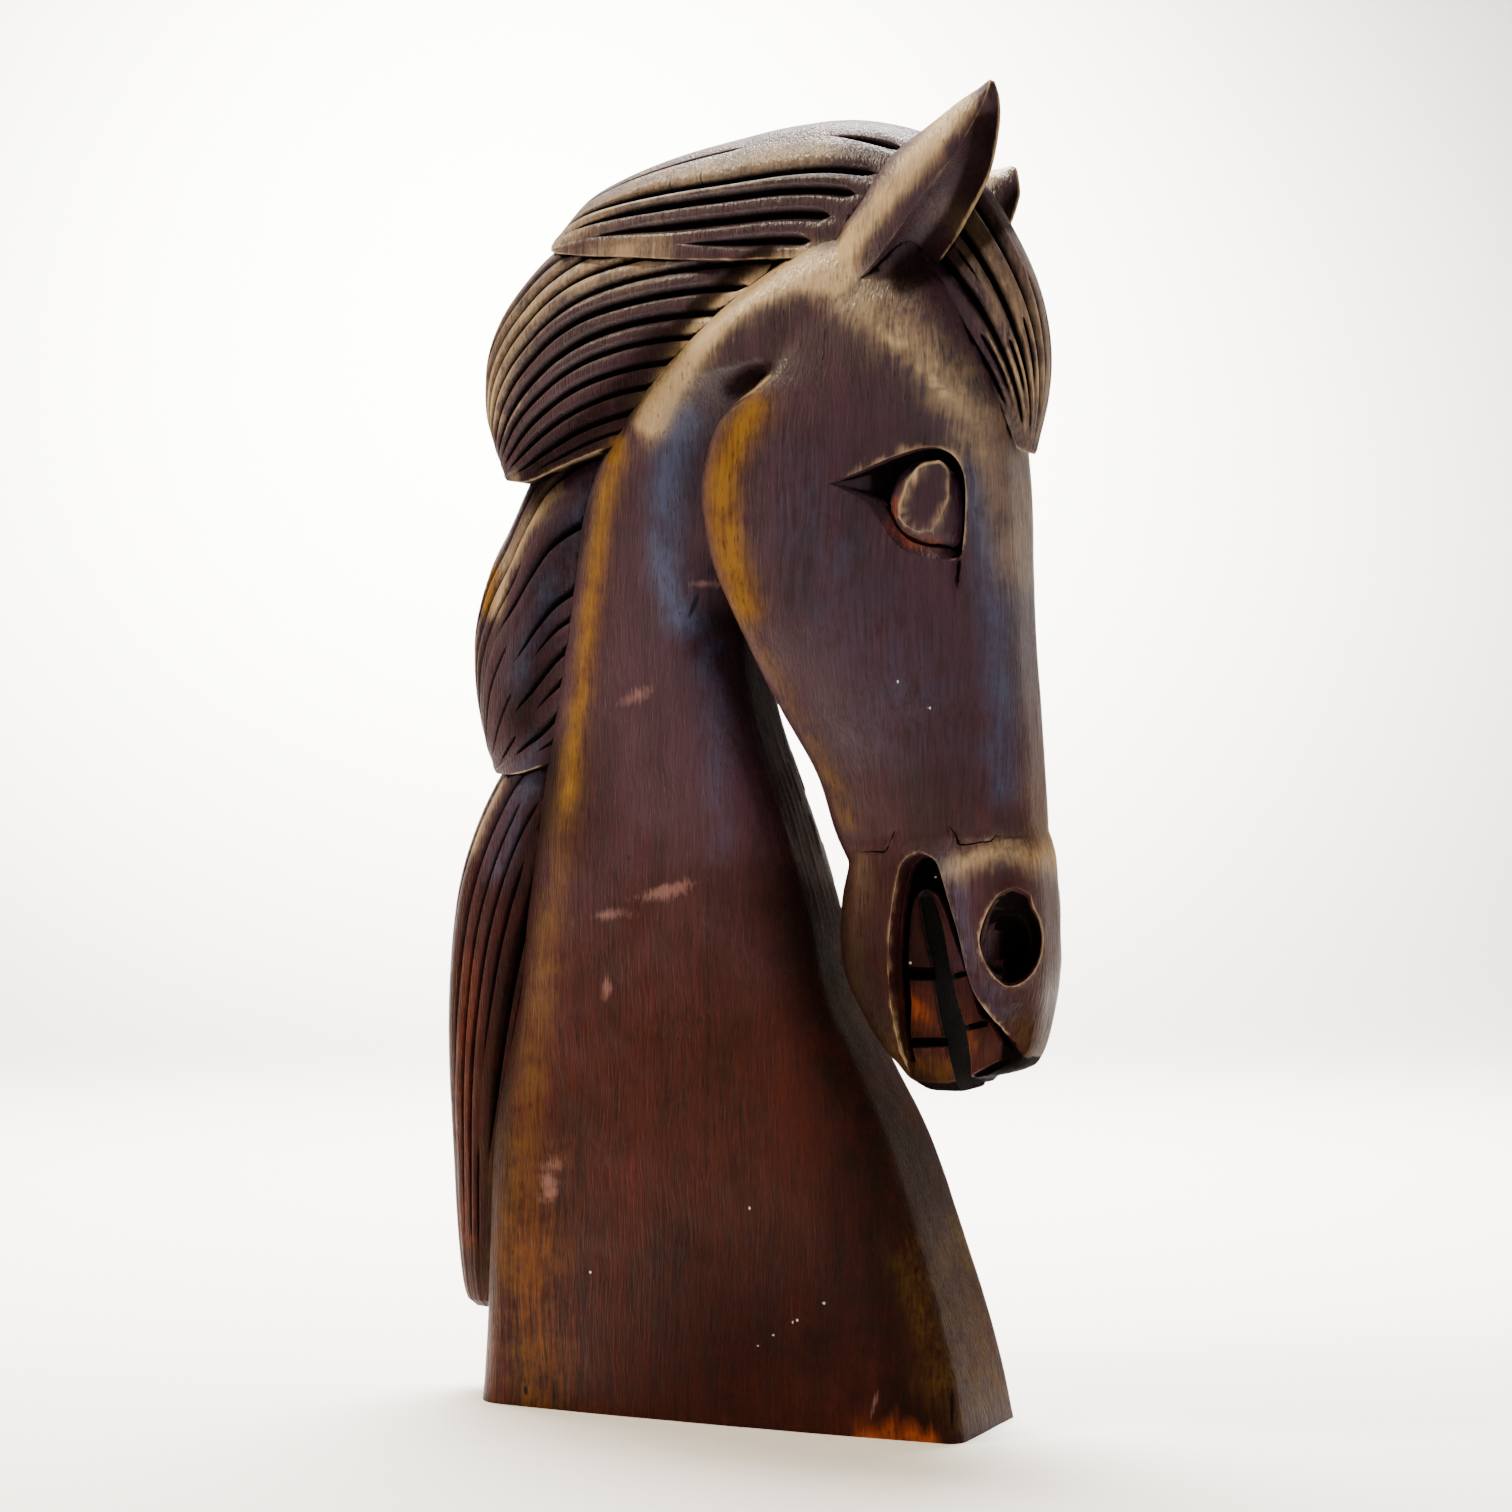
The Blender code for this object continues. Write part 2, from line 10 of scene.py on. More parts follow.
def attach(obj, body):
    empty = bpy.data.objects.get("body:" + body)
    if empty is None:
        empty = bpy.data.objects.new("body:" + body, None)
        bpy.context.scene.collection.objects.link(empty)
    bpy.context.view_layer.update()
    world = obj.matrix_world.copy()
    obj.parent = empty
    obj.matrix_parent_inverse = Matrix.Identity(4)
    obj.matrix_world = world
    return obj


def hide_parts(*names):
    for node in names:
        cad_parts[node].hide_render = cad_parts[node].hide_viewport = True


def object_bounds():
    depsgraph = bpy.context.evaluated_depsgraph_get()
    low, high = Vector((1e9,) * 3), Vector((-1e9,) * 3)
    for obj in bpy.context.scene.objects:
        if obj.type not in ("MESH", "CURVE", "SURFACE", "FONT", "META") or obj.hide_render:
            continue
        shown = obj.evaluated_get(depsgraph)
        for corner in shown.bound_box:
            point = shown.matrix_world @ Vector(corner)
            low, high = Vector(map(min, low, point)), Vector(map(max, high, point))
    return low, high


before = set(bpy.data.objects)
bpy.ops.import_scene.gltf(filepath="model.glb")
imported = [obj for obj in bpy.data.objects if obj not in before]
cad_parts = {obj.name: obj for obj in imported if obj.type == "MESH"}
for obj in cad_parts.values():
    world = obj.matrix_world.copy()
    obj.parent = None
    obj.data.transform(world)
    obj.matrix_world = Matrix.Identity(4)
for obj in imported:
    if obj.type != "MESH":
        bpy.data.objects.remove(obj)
cad_low, cad_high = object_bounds()

# The profile is drawn in millimetres on a head this tall. MM is one of them in metres.
DRAWN_HEIGHT = 563.47
MM = (cad_high.z - cad_low.z) / DRAWN_HEIGHT

# Half widths of the masses, in drawn millimetres
NECK_HALF = 35.0
HEAD_HALF = 42.0
MUZZLE_HALF = 32.0
MANE_HALF = 27.0

# How finely the wood is modelled
RING_POINTS = 220        # points round one slice of a mass
SKIN_CELL = 1.15         # grid that fuses the masses
BODY_FACES = 72000       # triangles kept on the fused masses
SHARP_ANGLE = 38         # degrees above which an edge stays sharp
LOCK_STEPS = 84          # rings along a lock of hair
STRAND_INNER = 3         # columns of points on a strand between its two lips
CURVE_STEPS = 12         # pieces of a smooth curve between two of its points
OUTLINE_POINTS = {"mouth": 150, "channel": 200, "jaws": 110, "eye": 120, "eyeball": 60, "nostril": 72}

# Level slices of the masses. Each row: height, back, front; half widths at the back, middle and front
# as shares of the mass's own; then for the back and the front corner how long it is rounded for, and
# what share of the end stays flat.
NECK = [
    (-14, -117, 117, 1.015, 1.110, 0.994, 13, 0.60, 5, 0.86),
    (36, -115, 107, 0.998, 1.092, 0.977, 16, 0.50, 10, 0.76),
    (112, -114, 82, 0.969, 1.061, 0.949, 24, 0.40, 15, 0.66),
    (150, -108, 64, 0.95, 1.04, 0.92, 28, 0.36, 17, 0.58),
    (182, -102, 47, 0.95, 1.03, 0.92, 30, 0.34, 19, 0.50),
    (219, -98, 39, 0.96, 1.02, 0.92, 30, 0.30, 19, 0.44),
    (260, -92, 27, 0.97, 1.01, 0.92, 30, 0.30, 22, 0.36),
    (308, -84, 10, 0.97, 0.99, 0.93, 30, 0.30, 24, 0.32),
    (350, -77, 6, 0.97, 0.95, 0.94, 28, 0.30, 22, 0.36),
    (396, -69, 20, 0.98, 0.90, 0.94, 26, 0.30, 16, 0.40),
    (425, -55, 45, 0.98, 0.90, 0.94, 26, 0.30, 16, 0.40),
    (450, -35, 70, 0.98, 0.98, 0.96, 26, 0.30, 18, 0.40),
    (475, -8, 84, 0.95, 1.03, 0.96, 26, 0.25, 22, 0.30),
    (497, 22, 92, 0.80, 0.90, 0.78, 26, 0.20, 24, 0.20),
    (512, 45, 88, 0.60, 0.65, 0.60, 20, 0.10, 20, 0.10),
]
HEAD = [
    (512, 50, 90, 0.36, 0.46, 0.36, 18, 0.10, 18, 0.10),
    (498, 42, 104, 0.55, 0.68, 0.52, 20, 0.20, 22, 0.20),
    (475, 34, 114, 0.74, 0.86, 0.62, 16, 0.40, 20, 0.25),
    (447, 23, 122, 0.88, 0.94, 0.66, 12, 0.55, 16, 0.30),
    (431, 4, 126, 0.94, 0.97, 0.66, 10, 0.60, 14, 0.35),
    (416, -3, 127, 0.97, 0.99, 0.64, 10, 0.60, 13, 0.38),
    (399, -6, 128.5, 0.99, 1.00, 0.62, 10, 0.60, 13, 0.40),
    (382, -4, 129.5, 0.99, 1.00, 0.59, 10, 0.60, 13, 0.40),
    (365, 0, 130, 0.97, 0.98, 0.56, 10, 0.60, 13, 0.40),
    (335, 13, 131.5, 0.91, 0.93, 0.53, 10, 0.55, 13, 0.40),
    (305, 28, 134, 0.80, 0.84, 0.51, 10, 0.50, 13, 0.40),
    (277, 43, 136, 0.68, 0.74, 0.50, 10, 0.45, 13, 0.40),
    (250, 51, 137, 0.60, 0.68, 0.52, 10, 0.40, 13, 0.40),
    (225, 64, 136, 0.55, 0.64, 0.50, 10, 0.40, 13, 0.40),
]
MUZZLE = [
    (262, 62, 134, 0.62, 0.78, 0.60, 10, 0.30, 14, 0.30),
    (253, 55, 138, 0.74, 0.87, 0.69, 14, 0.35, 18, 0.30),
    (246, 55, 140, 0.84, 0.94, 0.79, 15, 0.35, 20, 0.28),
    (240, 56, 141, 0.88, 0.98, 0.84, 16, 0.35, 22, 0.26),
    (225, 53, 142, 0.90, 1.00, 0.88, 16, 0.35, 24, 0.24),
    (208, 52, 143, 0.90, 1.00, 0.86, 16, 0.35, 24, 0.22),
    (190, 55, 143, 0.88, 0.98, 0.82, 16, 0.35, 24, 0.22),
    (175, 62, 140.5, 0.82, 0.93, 0.76, 16, 0.30, 20, 0.22),
    (163, 69, 137.5, 0.74, 0.86, 0.70, 14, 0.30, 16, 0.22),
    (156, 75, 134, 0.65, 0.77, 0.63, 12, 0.25, 13, 0.22),
    (152.5, 78, 130, 0.61, 0.73, 0.59, 12, 0.25, 12, 0.22),
    (149.5, 80, 116, 0.57, 0.69, 0.55, 12, 0.25, 11, 0.22),
    (144, 88, 114, 0.38, 0.44, 0.38, 10, 0.20, 8, 0.20),
]

# Ear: its middle line along and up, half its breadth, its thickness as a share of the full one, and how
# far out it stands as a share of the head's half width.
EAR = [
    (56, 472, 17.0, 0.84, 0.36),
    (63, 485, 20.5, 0.94, 0.47),
    (73, 493, 21.8, 1.00, 0.57),
    (84.5, 504.5, 22.0, 1.00, 0.64),
    (97.4, 519.9, 22.2, 0.92, 0.70),
    (110.8, 533.4, 18.4, 0.76, 0.76),
    (121.4, 547.8, 11.8, 0.50, 0.81),
    (126.4, 556, 6.6, 0.32, 0.84),
    (129, 563, 1.2, 0.12, 0.85),
]
EAR_THICKNESS = 26.0
EAR_HOLLOW = 11.0        # depth of the scoop in its front, and the most as a share of half its breadth
EAR_HOLLOW_SHARE = 0.34
EAR_RIM = 78             # degrees round the ear's section where the back turns into the scoop
EAR_FRONT = -12          # degrees round it where the scoop ends at the front edge
EAR_RINGS = 56
EAR_POINTS = 64
EAR_BACK = 0.66          # share of the points that go to its rounded back
BLUNT_RINGS = 5          # rings over which the far ear's tip closes
FAR_EAR_SHARE = 0.80     # the far ear is shorter, with a blunt tip

# Each lock of hair: its outline along the crest, its lower edge, and how wide it is at its root, middle
# and tip as shares of the mane's half width. Each groove: where it runs from the crest (0) to the edge
# (100) at the root, the middle and the tip, then the stretches that are cut, as start and end along the
# lock in hundredths, width and depth.
LOCKS = {
    "crown": dict(
        crest=[(100, 541), (84, 551), (56, 558), (28, 558), (0, 554), (-27, 549), (-52, 542),
               (-72, 533), (-84, 521), (-91, 511)],
        edge=[(84, 486), (56, 494), (32, 497), (6, 498), (-20, 500), (-45, 503), (-66, 505), (-86, 508)],
        wide=(1.00, 0.98, 0.62),
        grooves=[(4, 5, 9, [(30, 97, 1.6, 1.4)]),
                 (29, 25, 28, [(8, 28, 3.0, 3.0), (46, 97, 1.3, 1.2)]),
                 (46, 48, 45, [(12, 98, 3.6, 4.6)]),
                 (62, 60, 62, [(15, 96, 4.0, 5.0)]),
                 (77, 75, 80, [(20, 90, 4.6, 5.4)]),
                 (93, 89, 92, [(24, 64, 4.6, 5.2)])]),
    "upper": dict(
        crest=[(40, 528), (0, 528), (-40, 526), (-70, 521), (-91, 511), (-106, 498), (-118, 483),
               (-125, 466), (-126, 448), (-123, 432), (-113, 410)],
        edge=[(-22, 416), (-36, 420), (-50, 420), (-66, 416), (-82, 411), (-97, 407), (-111, 408)],
        wide=(0.96, 0.94, 0.50),
        grooves=[(3, 5, 8, [(40, 98, 1.6, 1.8)]),
                 (9, 13, 16, [(34, 97, 2.8, 3.4)]),
                 (16, 21, 23, [(22, 98, 3.0, 4.2)]),
                 (23, 29, 30, [(12, 97, 3.2, 4.6)]),
                 (31, 37, 38, [(4, 98, 3.6, 5.0)]),
                 (40, 46, 46, [(2, 97, 4.2, 5.2)]),
                 (49, 55, 54, [(2, 98, 4.2, 5.0)]),
                 (58, 63.5, 62, [(2, 96, 3.4, 4.6)]),
                 (67, 72, 70, [(4, 98, 3.6, 4.6)]),
                 (76, 80.5, 79, [(6, 96, 3.2, 4.4)]),
                 (86, 89, 88, [(6, 94, 3.4, 4.4)]),
                 (94, 95.5, 95, [(20, 84, 2.0, 2.4)])]),
    "middle": dict(
        crest=[(-30, 444), (-62, 440), (-88, 428), (-102, 410), (-113, 389), (-124, 369), (-131, 345),
               (-131, 322), (-127, 300), (-119, 279)],
        edge=[(-56, 292), (-72, 286), (-90, 280), (-104, 277), (-116, 277)],
        wide=(0.88, 0.88, 0.48),
        grooves=[(3, 6, 10, [(6, 97, 2.0, 2.6)]),
                 (9, 13, 18, [(6, 97, 2.6, 3.8)]),
                 (17, 21, 27, [(6, 97, 3.2, 4.6)]),
                 (27, 30, 36, [(42, 94, 2.4, 3.0)]),
                 (36, 38, 45, [(8, 62, 4.6, 5.4)]),
                 (45, 47, 54, [(54, 96, 1.8, 1.6)]),
                 (54, 56, 63, [(12, 58, 4.2, 5.0)]),
                 (61, 64, 71, [(14, 46, 3.0, 3.4), (58, 95, 1.6, 1.5)]),
                 (69, 72, 78, [(12, 66, 3.6, 4.4)]),
                 (77, 80, 85, [(16, 52, 2.8, 3.4), (64, 94, 1.6, 1.4)]),
                 (85, 88, 91, [(14, 78, 3.4, 4.0)]),
                 (93, 94, 95, [(20, 60, 2.2, 2.6)])]),
    "lower": dict(
        crest=[(-50, 312), (-84, 306), (-108, 290), (-124, 268), (-136, 241), (-142, 215), (-145, 180),
               (-145, 145), (-143, 110), (-141, 75), (-138, 48), (-134, 37)],
        edge=[(-62, 244), (-70, 218), (-74, 190), (-79, 160), (-88, 125), (-96, 90), (-100, 60), (-102, 39)],
        wide=(0.82, 0.86, 0.62),
        grooves=[(8, 11, 14, [(6, 52, 2.6, 3.4)]),
                 (20, 23, 24, [(6, 72, 3.0, 3.8)]),
                 (30, 33, 33, [(20, 95, 2.2, 2.4)]),
                 (40, 42, 43, [(16, 97, 2.4, 2.6)]),
                 (49, 52, 52, [(24, 64, 2.8, 3.2), (72, 97, 1.5, 1.4)]),
                 (60, 64, 59, [(10, 78, 5.4, 6.4)]),
                 (70, 72, 68, [(34, 60, 1.8, 2.0), (70, 96, 1.8, 1.8)]),
                 (79, 80, 77, [(14, 62, 3.2, 3.6)]),
                 (89, 89, 88, [(18, 54, 2.6, 2.8)])]),
    "forelock": dict(
        crest=[(86, 543), (99, 538), (112, 527), (125, 506), (134, 487), (139, 470), (141, 452), (139.5, 434),
               (134, 412)],
        edge=[(78, 480), (92, 474), (102, 465), (112, 452), (120, 440), (126, 428), (130, 413)],
        wide=(0.92, 0.80, 0.30),
        grooves=[(7, 9, 12, [(48, 95, 1.6, 1.6)]),
                 (20, 21, 22, [(14, 98, 5.2, 5.6)]),
                 (32, 33, 34, [(58, 97, 1.8, 1.8)]),
                 (43, 44, 45, [(14, 99, 5.0, 5.6)]),
                 (55, 55, 56, [(24, 42, 1.8, 1.6), (60, 95, 2.0, 2.0)]),
                 (66, 67, 68, [(14, 97, 4.8, 5.4)]),
                 (78, 78, 79, [(50, 90, 2.0, 1.8)]),
                 (89, 90, 91, [(16, 86, 4.0, 4.6)])]),
}
LOCK_ROUND = 2.3         # squareness of a lock's cross-section
LOCK_COLUMNS = 121       # even places from a lock's crest to its edge that its smooth skin is known at
GROOVE_OPEN = 0.64       # half a groove's opening, as a share of its drawn width
GROOVE_ROOM = 0.42       # and the most of the way to its neighbour that it may take
GROOVE_DEEP = 1.15       # its depth, as a share of the drawn one
GROOVE_STEEP = 3.0       # and the most it may be, as a share of half its opening
LIP_DROP = 0.06          # how far its lips hang, as a share of its depth
STRAND_CROWN = 0.5       # how far a strand's back stands out where it is as wide as the next length
STRAND_FULL = 9
STRAND_VARIES = 0.25     # and how much that differs from strand to strand
TIP_SHRINK = 0.8         # the last ring of a lock, as a share of its own size
TAPER = 30.0             # hundredths of the lock over which a groove runs out towards the tip
BLUNT = 4.0              # and over which it starts

# Mouth, in the profile
MOUTH_RIM = [(94.9, 244.2), (90.3, 242.3), (87.4, 238.4), (85.6, 230.7), (83.8, 220.5), (82.4, 204),
             (82.2, 195), (82.8, 182), (84.2, 171), (86.0, 159), (89.5, 146), (92, 134), (144, 134),
             (140, 149), (136.5, 157), (131.5, 164), (128.6, 170.5), (124.6, 177), (120.6, 183),
             (117.6, 188.5), (114.8, 198), (112.0, 211), (108.6, 222), (105.2, 233), (102.8, 239.6),
             (99.8, 242.7)]
MOUTH_DEPTH = 7.5
LIP_SKIN = 0.90          # the lips' half width as a share of the muzzle's
CHANNEL = [(89.5, 156.5), (86.4, 158), (84.6, 170.7), (83.2, 182), (82.6, 195), (82.8, 204), (84.2, 220.5),
           (86.0, 230.5), (87.8, 237.3), (90.6, 241), (94.7, 242.8), (99.2, 241.2), (102, 238.6),
           (104.5, 232.5), (107.9, 222), (111.4, 211), (114.2, 198), (117, 188.3), (120.2, 182.7),
           (125, 176.3), (128.4, 170.5), (131, 165), (133.6, 161.8), (131.4, 160.8), (128, 164.8),
           (124, 172.3), (118.6, 176.8), (115.1, 186), (112.4, 193), (109.8, 201), (106.1, 211),
           (102.8, 220), (99.5, 226.5), (95, 229.5), (90.5, 227.5), (87.9, 221.5), (86.5, 210.3),
           (85.8, 197), (86.3, 190.3), (87.2, 181.4), (86.9, 170.3), (87.6, 163)]
CHANNEL_DEPTH = 6.5      # the channel round the teeth, below the hollow's floor
JAW_GAP = [(92.6, 228.2), (90.6, 225.9), (91.4, 220.4), (93.2, 210.5), (96.2, 198), (97.4, 189.5),
           (99.6, 176.3), (101.8, 167.5), (103.7, 159.8), (106.7, 148.9), (108.8, 134), (115.4, 134),
           (114.3, 150.3), (113.6, 160.2), (111.4, 172.2), (109.1, 179.5), (106.4, 188.9), (104.7, 196.2),
           (102.0, 211), (98.8, 221.7), (95.6, 227.8)]
SLOTS = [((86.5, 193.7), (98, 193.7), 5.6), ((88, 164.6), (104, 165.2), 4.2),
         ((103.8, 192), (111.4, 194.2), 2.8), ((109.8, 171), (120.4, 173.4), 3.0),
         ((116.4, 151.2), (131.5, 159.2), 3.6)]
SLOT_DEPTH = 4.6
SLOT_ROUND = 1.2         # how far a slot's rounded ends stand out

# Eye
EYE_LID = [(57.3, 399.3), (62.2, 400.6), (68.6, 402.6), (78.2, 406.7), (84.5, 409.3), (89.2, 410.8),
           (95.3, 412.6), (100.7, 413.4), (105.3, 412.8), (110.5, 409.6), (114.1, 403.7), (115.3, 395.9),
           (115.1, 385.8), (114.4, 376.5), (112.6, 368)]
EYE_UNDER = [(106, 366.4), (98, 367.6), (90.5, 370.6), (84.5, 376.5), (79.5, 384.5), (74.6, 390.6),
             (67.1, 394.9)]
EYE_DEPTH = 9.0
EYE_CENTRE = (97.0, 391)
EYE_TAIL = 26            # length over which the hollow deepens from its rear corner
EYE_WALL = 0.045         # share of the hollow that its steep wall takes, and its soft slope
EYE_SLOPE = 0.5
EYEBALL = [(98.9, 409.6), (93.1, 408.3), (88.0, 404.9), (84.0, 399.4), (81.9, 392.1), (81.9, 385.4),
           (83.9, 379.0), (87.4, 374.8), (92.2, 372.4), (99.1, 371.2), (106.2, 371.0), (110.6, 372.4),
           (112.0, 378.4), (112.4, 386.2), (111.8, 394.1), (110.2, 400.6), (107.0, 406.1), (103.0, 408.9)]
PUPIL = [(104.2, 407.5), (96.2, 405.7), (91.1, 398.8), (88.0, 389.4), (87.7, 384.7), (90.2, 381.2),
         (95.3, 378.3), (101.0, 378.8), (104.1, 384.0), (107.8, 392.4), (107.6, 403.0)]
TEAR_LINE = [(112.6, 369), (111.5, 358), (111.4, 341)]

# Nostril
NOSTRIL = [(134.2, 229.9), (128.9, 226.9), (124.5, 219.3), (121.8, 210.5), (122.3, 204.5), (125.2, 197.5),
           (130.1, 191.4), (133.8, 190.6), (137.6, 192.8), (140.4, 197.0), (141.9, 202.5), (142.2, 209.9),
           (141.4, 216.6), (139.6, 222.2), (138.4, 227.1)]
NOSTRIL_HOLE = [(131.0, 219.5), (135.3, 220.2), (138.2, 218.4), (140.0, 214.3), (140.6, 208.7),
                (139.9, 202.6), (137.4, 197.0), (134.0, 194.0), (129.9, 194.2), (126.0, 198.8),
                (124.6, 205.8), (126.4, 214.5)]


def mm(values):
    """Drawn millimetres as metres."""
    return np.asarray(values, float) * MM


def run_along(points):
    """How far along a line each of its points is."""
    return np.concatenate([[0], np.cumsum(np.linalg.norm(np.diff(points, axis=0), axis=1))])


def spaced(points, run, count):
    """Points at even distances along a line, given how far along it each of its own points is."""
    wanted = np.linspace(0, run[-1], count)
    return np.column_stack([np.interp(wanted, run, column) for column in points.T])


def curve_through(points, count, by_first_column=False):
    """Even points on a smooth curve through the given ones."""
    knots = np.array(points, float)
    ends = np.vstack([2 * knots[0] - knots[1], knots, 2 * knots[-1] - knots[-2]])
    fine = []
    for a, b, c, d in zip(ends, ends[1:], ends[2:], ends[3:]):
        for t in np.linspace(0, 1, CURVE_STEPS, endpoint=False):
            square, cube = t * t, t * t * t
            fine.append(0.5 * (2 * b + (c - a) * t + (2 * a - 5 * b + 4 * c - d) * square
                               + (3 * b - a - 3 * c + d) * cube))
    fine.append(knots[-1])
    fine = np.array(fine)
    run = np.abs(fine[:, 0] - fine[0, 0]) if by_first_column else run_along(fine[:, :2])
    return spaced(fine, run, count)


def smooth_step(values):
    t = np.clip(values, 0, 1)
    return t * t * (3 - 2 * t)


def pick(piece):
    """Makes this the one selected and active object."""
    bpy.ops.object.select_all(action="DESELECT")
    piece.select_set(True)
    bpy.context.view_layer.objects.active = piece


def finish_modifiers(piece):
    pick(piece)
    for name in [modifier.name for modifier in piece.modifiers]:
        bpy.ops.object.modifier_apply(modifier=name)


def join(pieces):
    """Joins objects into the first of them."""
    pick(pieces[0])
    for piece in pieces[1:]:
        piece.select_set(True)
    if len(pieces) > 1:
        bpy.ops.object.join()
    return pieces[0]


def face_outwards(piece):
    pick(piece)
    bpy.ops.object.mode_set(mode="EDIT")
    bpy.ops.mesh.select_all(action="SELECT")
    bpy.ops.mesh.normals_make_consistent(inside=False)
    bpy.ops.object.mode_set(mode="OBJECT")
    return piece


def corners(piece):
    """The mesh's points as an array."""
    flat = np.empty(len(piece.data.vertices) * 3)
    piece.data.vertices.foreach_get("co", flat)
    return flat.reshape(-1, 3)


def facings(piece):
    """The direction that each point of the mesh faces."""
    flat = np.empty(len(piece.data.vertices) * 3)
    piece.data.vertex_normals.foreach_get("vector", flat)
    return flat.reshape(-1, 3)


def move_corners(piece, places):
    piece.data.vertices.foreach_set("co", places.ravel())
    piece.data.update()


def pulled_ball(name, rings):
    """A ball whose rings are pulled out onto the given outlines, from one pole to the other."""
    rings = np.asarray(rings, float)
    levels, segments = rings.shape[:2]
    bpy.ops.mesh.primitive_uv_sphere_add(segments=segments, ring_count=levels + 1, radius=1.0)
    ball = bpy.context.object
    ball.name = name
    start = corners(ball)
    level = np.rint(np.arccos(np.clip(start[:, 2], -1, 1)) * (levels + 1) / math.pi).astype(int) - 1
    turn = np.rint(np.arctan2(start[:, 1], start[:, 0]) * segments / (2 * math.pi)).astype(int) % segments
    places = rings[np.clip(level, 0, levels - 1), turn]
    places[level < 0] = rings[0].mean(axis=0)
    places[level >= levels] = rings[-1].mean(axis=0)
    move_corners(ball, places)
    return face_outwards(ball)


def half_width_at(row, half, x):
    """How far the skin of a slice stands out from the middle plane, at a place along it."""
    back, front, wide_back, wide_middle, wide_front = row[1:6]
    turn_back, flat_back, turn_front, flat_front = row[6:]
    along = np.clip(2 * (x - back) / (front - back) - 1, -1, 1)
    wide = wide_middle + (wide_front - wide_back) / 2 * along
    wide = wide + ((wide_front + wide_back) / 2 - wide_middle) * along * along
    for gap, turn, flat in ((x - back, turn_back, flat_back), (front - x, turn_front, flat_front)):
        short = np.clip(1 - gap / turn, 0, 1)
        wide = wide * (flat + (1 - flat) * np.sqrt(1 - short * short))
    return half * wide


def slice_ring(row, half):
    """One level slice of a mass, as evenly spaced points round it."""
    height, back, front = row[:3]
    x = (front + back) / 2 + (front - back) / 2 * np.cos(np.linspace(0, math.pi, 400))
    side = np.column_stack([x, half_width_at(row, half, x)])
    outline = np.concatenate([[(front, 0)], side, [(back, 0)], side[::-1] * (1, -1), [(front, 0)]])
    ring = spaced(outline, run_along(outline), RING_POINTS + 1)[:-1]
    return mm(np.column_stack([ring, np.full(RING_POINTS, height)]))


# Each mass: its slices, half its width, and how many rings it is drawn with
MASSES = {"neck": (NECK, NECK_HALF, 160), "head": (HEAD, HEAD_HALF, 90), "muzzle": (MUZZLE, MUZZLE_HALF, 46)}
FINE_ROWS = {name: curve_through(drawn[0], 300, by_first_column=True) for name, drawn in MASSES.items()}


def mass(name):
    rows, half, levels = MASSES[name]
    rings = [slice_ring(row, half) for row in curve_through(rows, levels, by_first_column=True)]
    return pulled_ball(name, rings)


def skin_at(name, x, z):
    """How far out the skin of a mass is at a place of the profile, in drawn millimetres."""
    fine = FINE_ROWS[name]
    return float(half_width_at(fine[np.argmin(np.abs(fine[:, 0] - z))], MASSES[name][1], x))


def near_line(places, line):
    """Each place's distance to a drawn line of the profile, and how far along the line that is, 0 to 1."""
    line = mm(line)
    spans = np.linalg.norm(np.diff(line, axis=0), axis=1)
    starts = run_along(line)
    best = np.full(len(places), np.inf)
    along = np.zeros(len(places))
    for start, end, span, begun in zip(line, line[1:], spans, starts):
        run = end - start
        t = np.clip((places - start) @ run / (span * span), 0, 1)
        gap = np.linalg.norm(places - start - t[:, None] * run, axis=1)
        closer = gap < best
        best[closer] = gap[closer]
        along[closer] = ((begun + t * span) / starts[-1])[closer]
    return best, along


def closeness(places, line, width):
    """1 on a drawn line and fading out beside it, with how far along the line each place is."""
    gap, along = near_line(places, line)
    return np.exp(-(gap / mm(width)) ** 2), along


def stack(name, rings):
    """Outlines stacked into one closed form with flat ends."""
    rings = np.asarray(rings, float)
    levels, count = rings.shape[:2]
    bpy.ops.object.select_all(action="DESELECT")
    bpy.ops.mesh.primitive_circle_add(vertices=count, radius=1.0, fill_type="NGON")
    piece = bpy.context.object
    piece.name = name
    bpy.ops.object.mode_set(mode="EDIT")
    bpy.ops.mesh.select_all(action="SELECT")
    for _ in range(levels - 1):
        bpy.ops.mesh.extrude_region_move(TRANSFORM_OT_translate={"value": (0, 0, 1)})
    bpy.ops.object.mode_set(mode="OBJECT")
    start = corners(piece)
    level = np.rint(start[:, 2]).astype(int)
    angle = np.arctan2(start[:, 1], start[:, 0]) - math.pi / 2
    turn = np.rint(angle * count / (2 * math.pi)).astype(int) % count
    move_corners(piece, rings[level, turn])
    return face_outwards(piece)


def smooth_outline(points, count):
    return curve_through(list(points) + [points[0]], count + 1)[:-1]


def grown(outline, amount):
    """An outline moved outwards all round by an amount, or inwards by a negative one."""
    run = np.roll(outline, -1, axis=0) - np.roll(outline, 1, axis=0)
    beside = np.column_stack([run[:, 1], -run[:, 0]]) / np.linalg.norm(run, axis=1)[:, None]
    x, z = outline.T
    turns_left = np.sum(x * np.roll(z, -1) - np.roll(x, -1) * z) > 0
    return outline + beside * (amount if turns_left else -amount)


# The worn rim of a pocket, as shares of the rim's width: how far it spreads and how far out it stands
POCKET_RIM = ((0.0, -1.5), (0.12, -1.0), (0.45, -0.4), (1.1, 0.15))
CLEAR = 1.3              # cutters end this far out, as a share of the head's half width


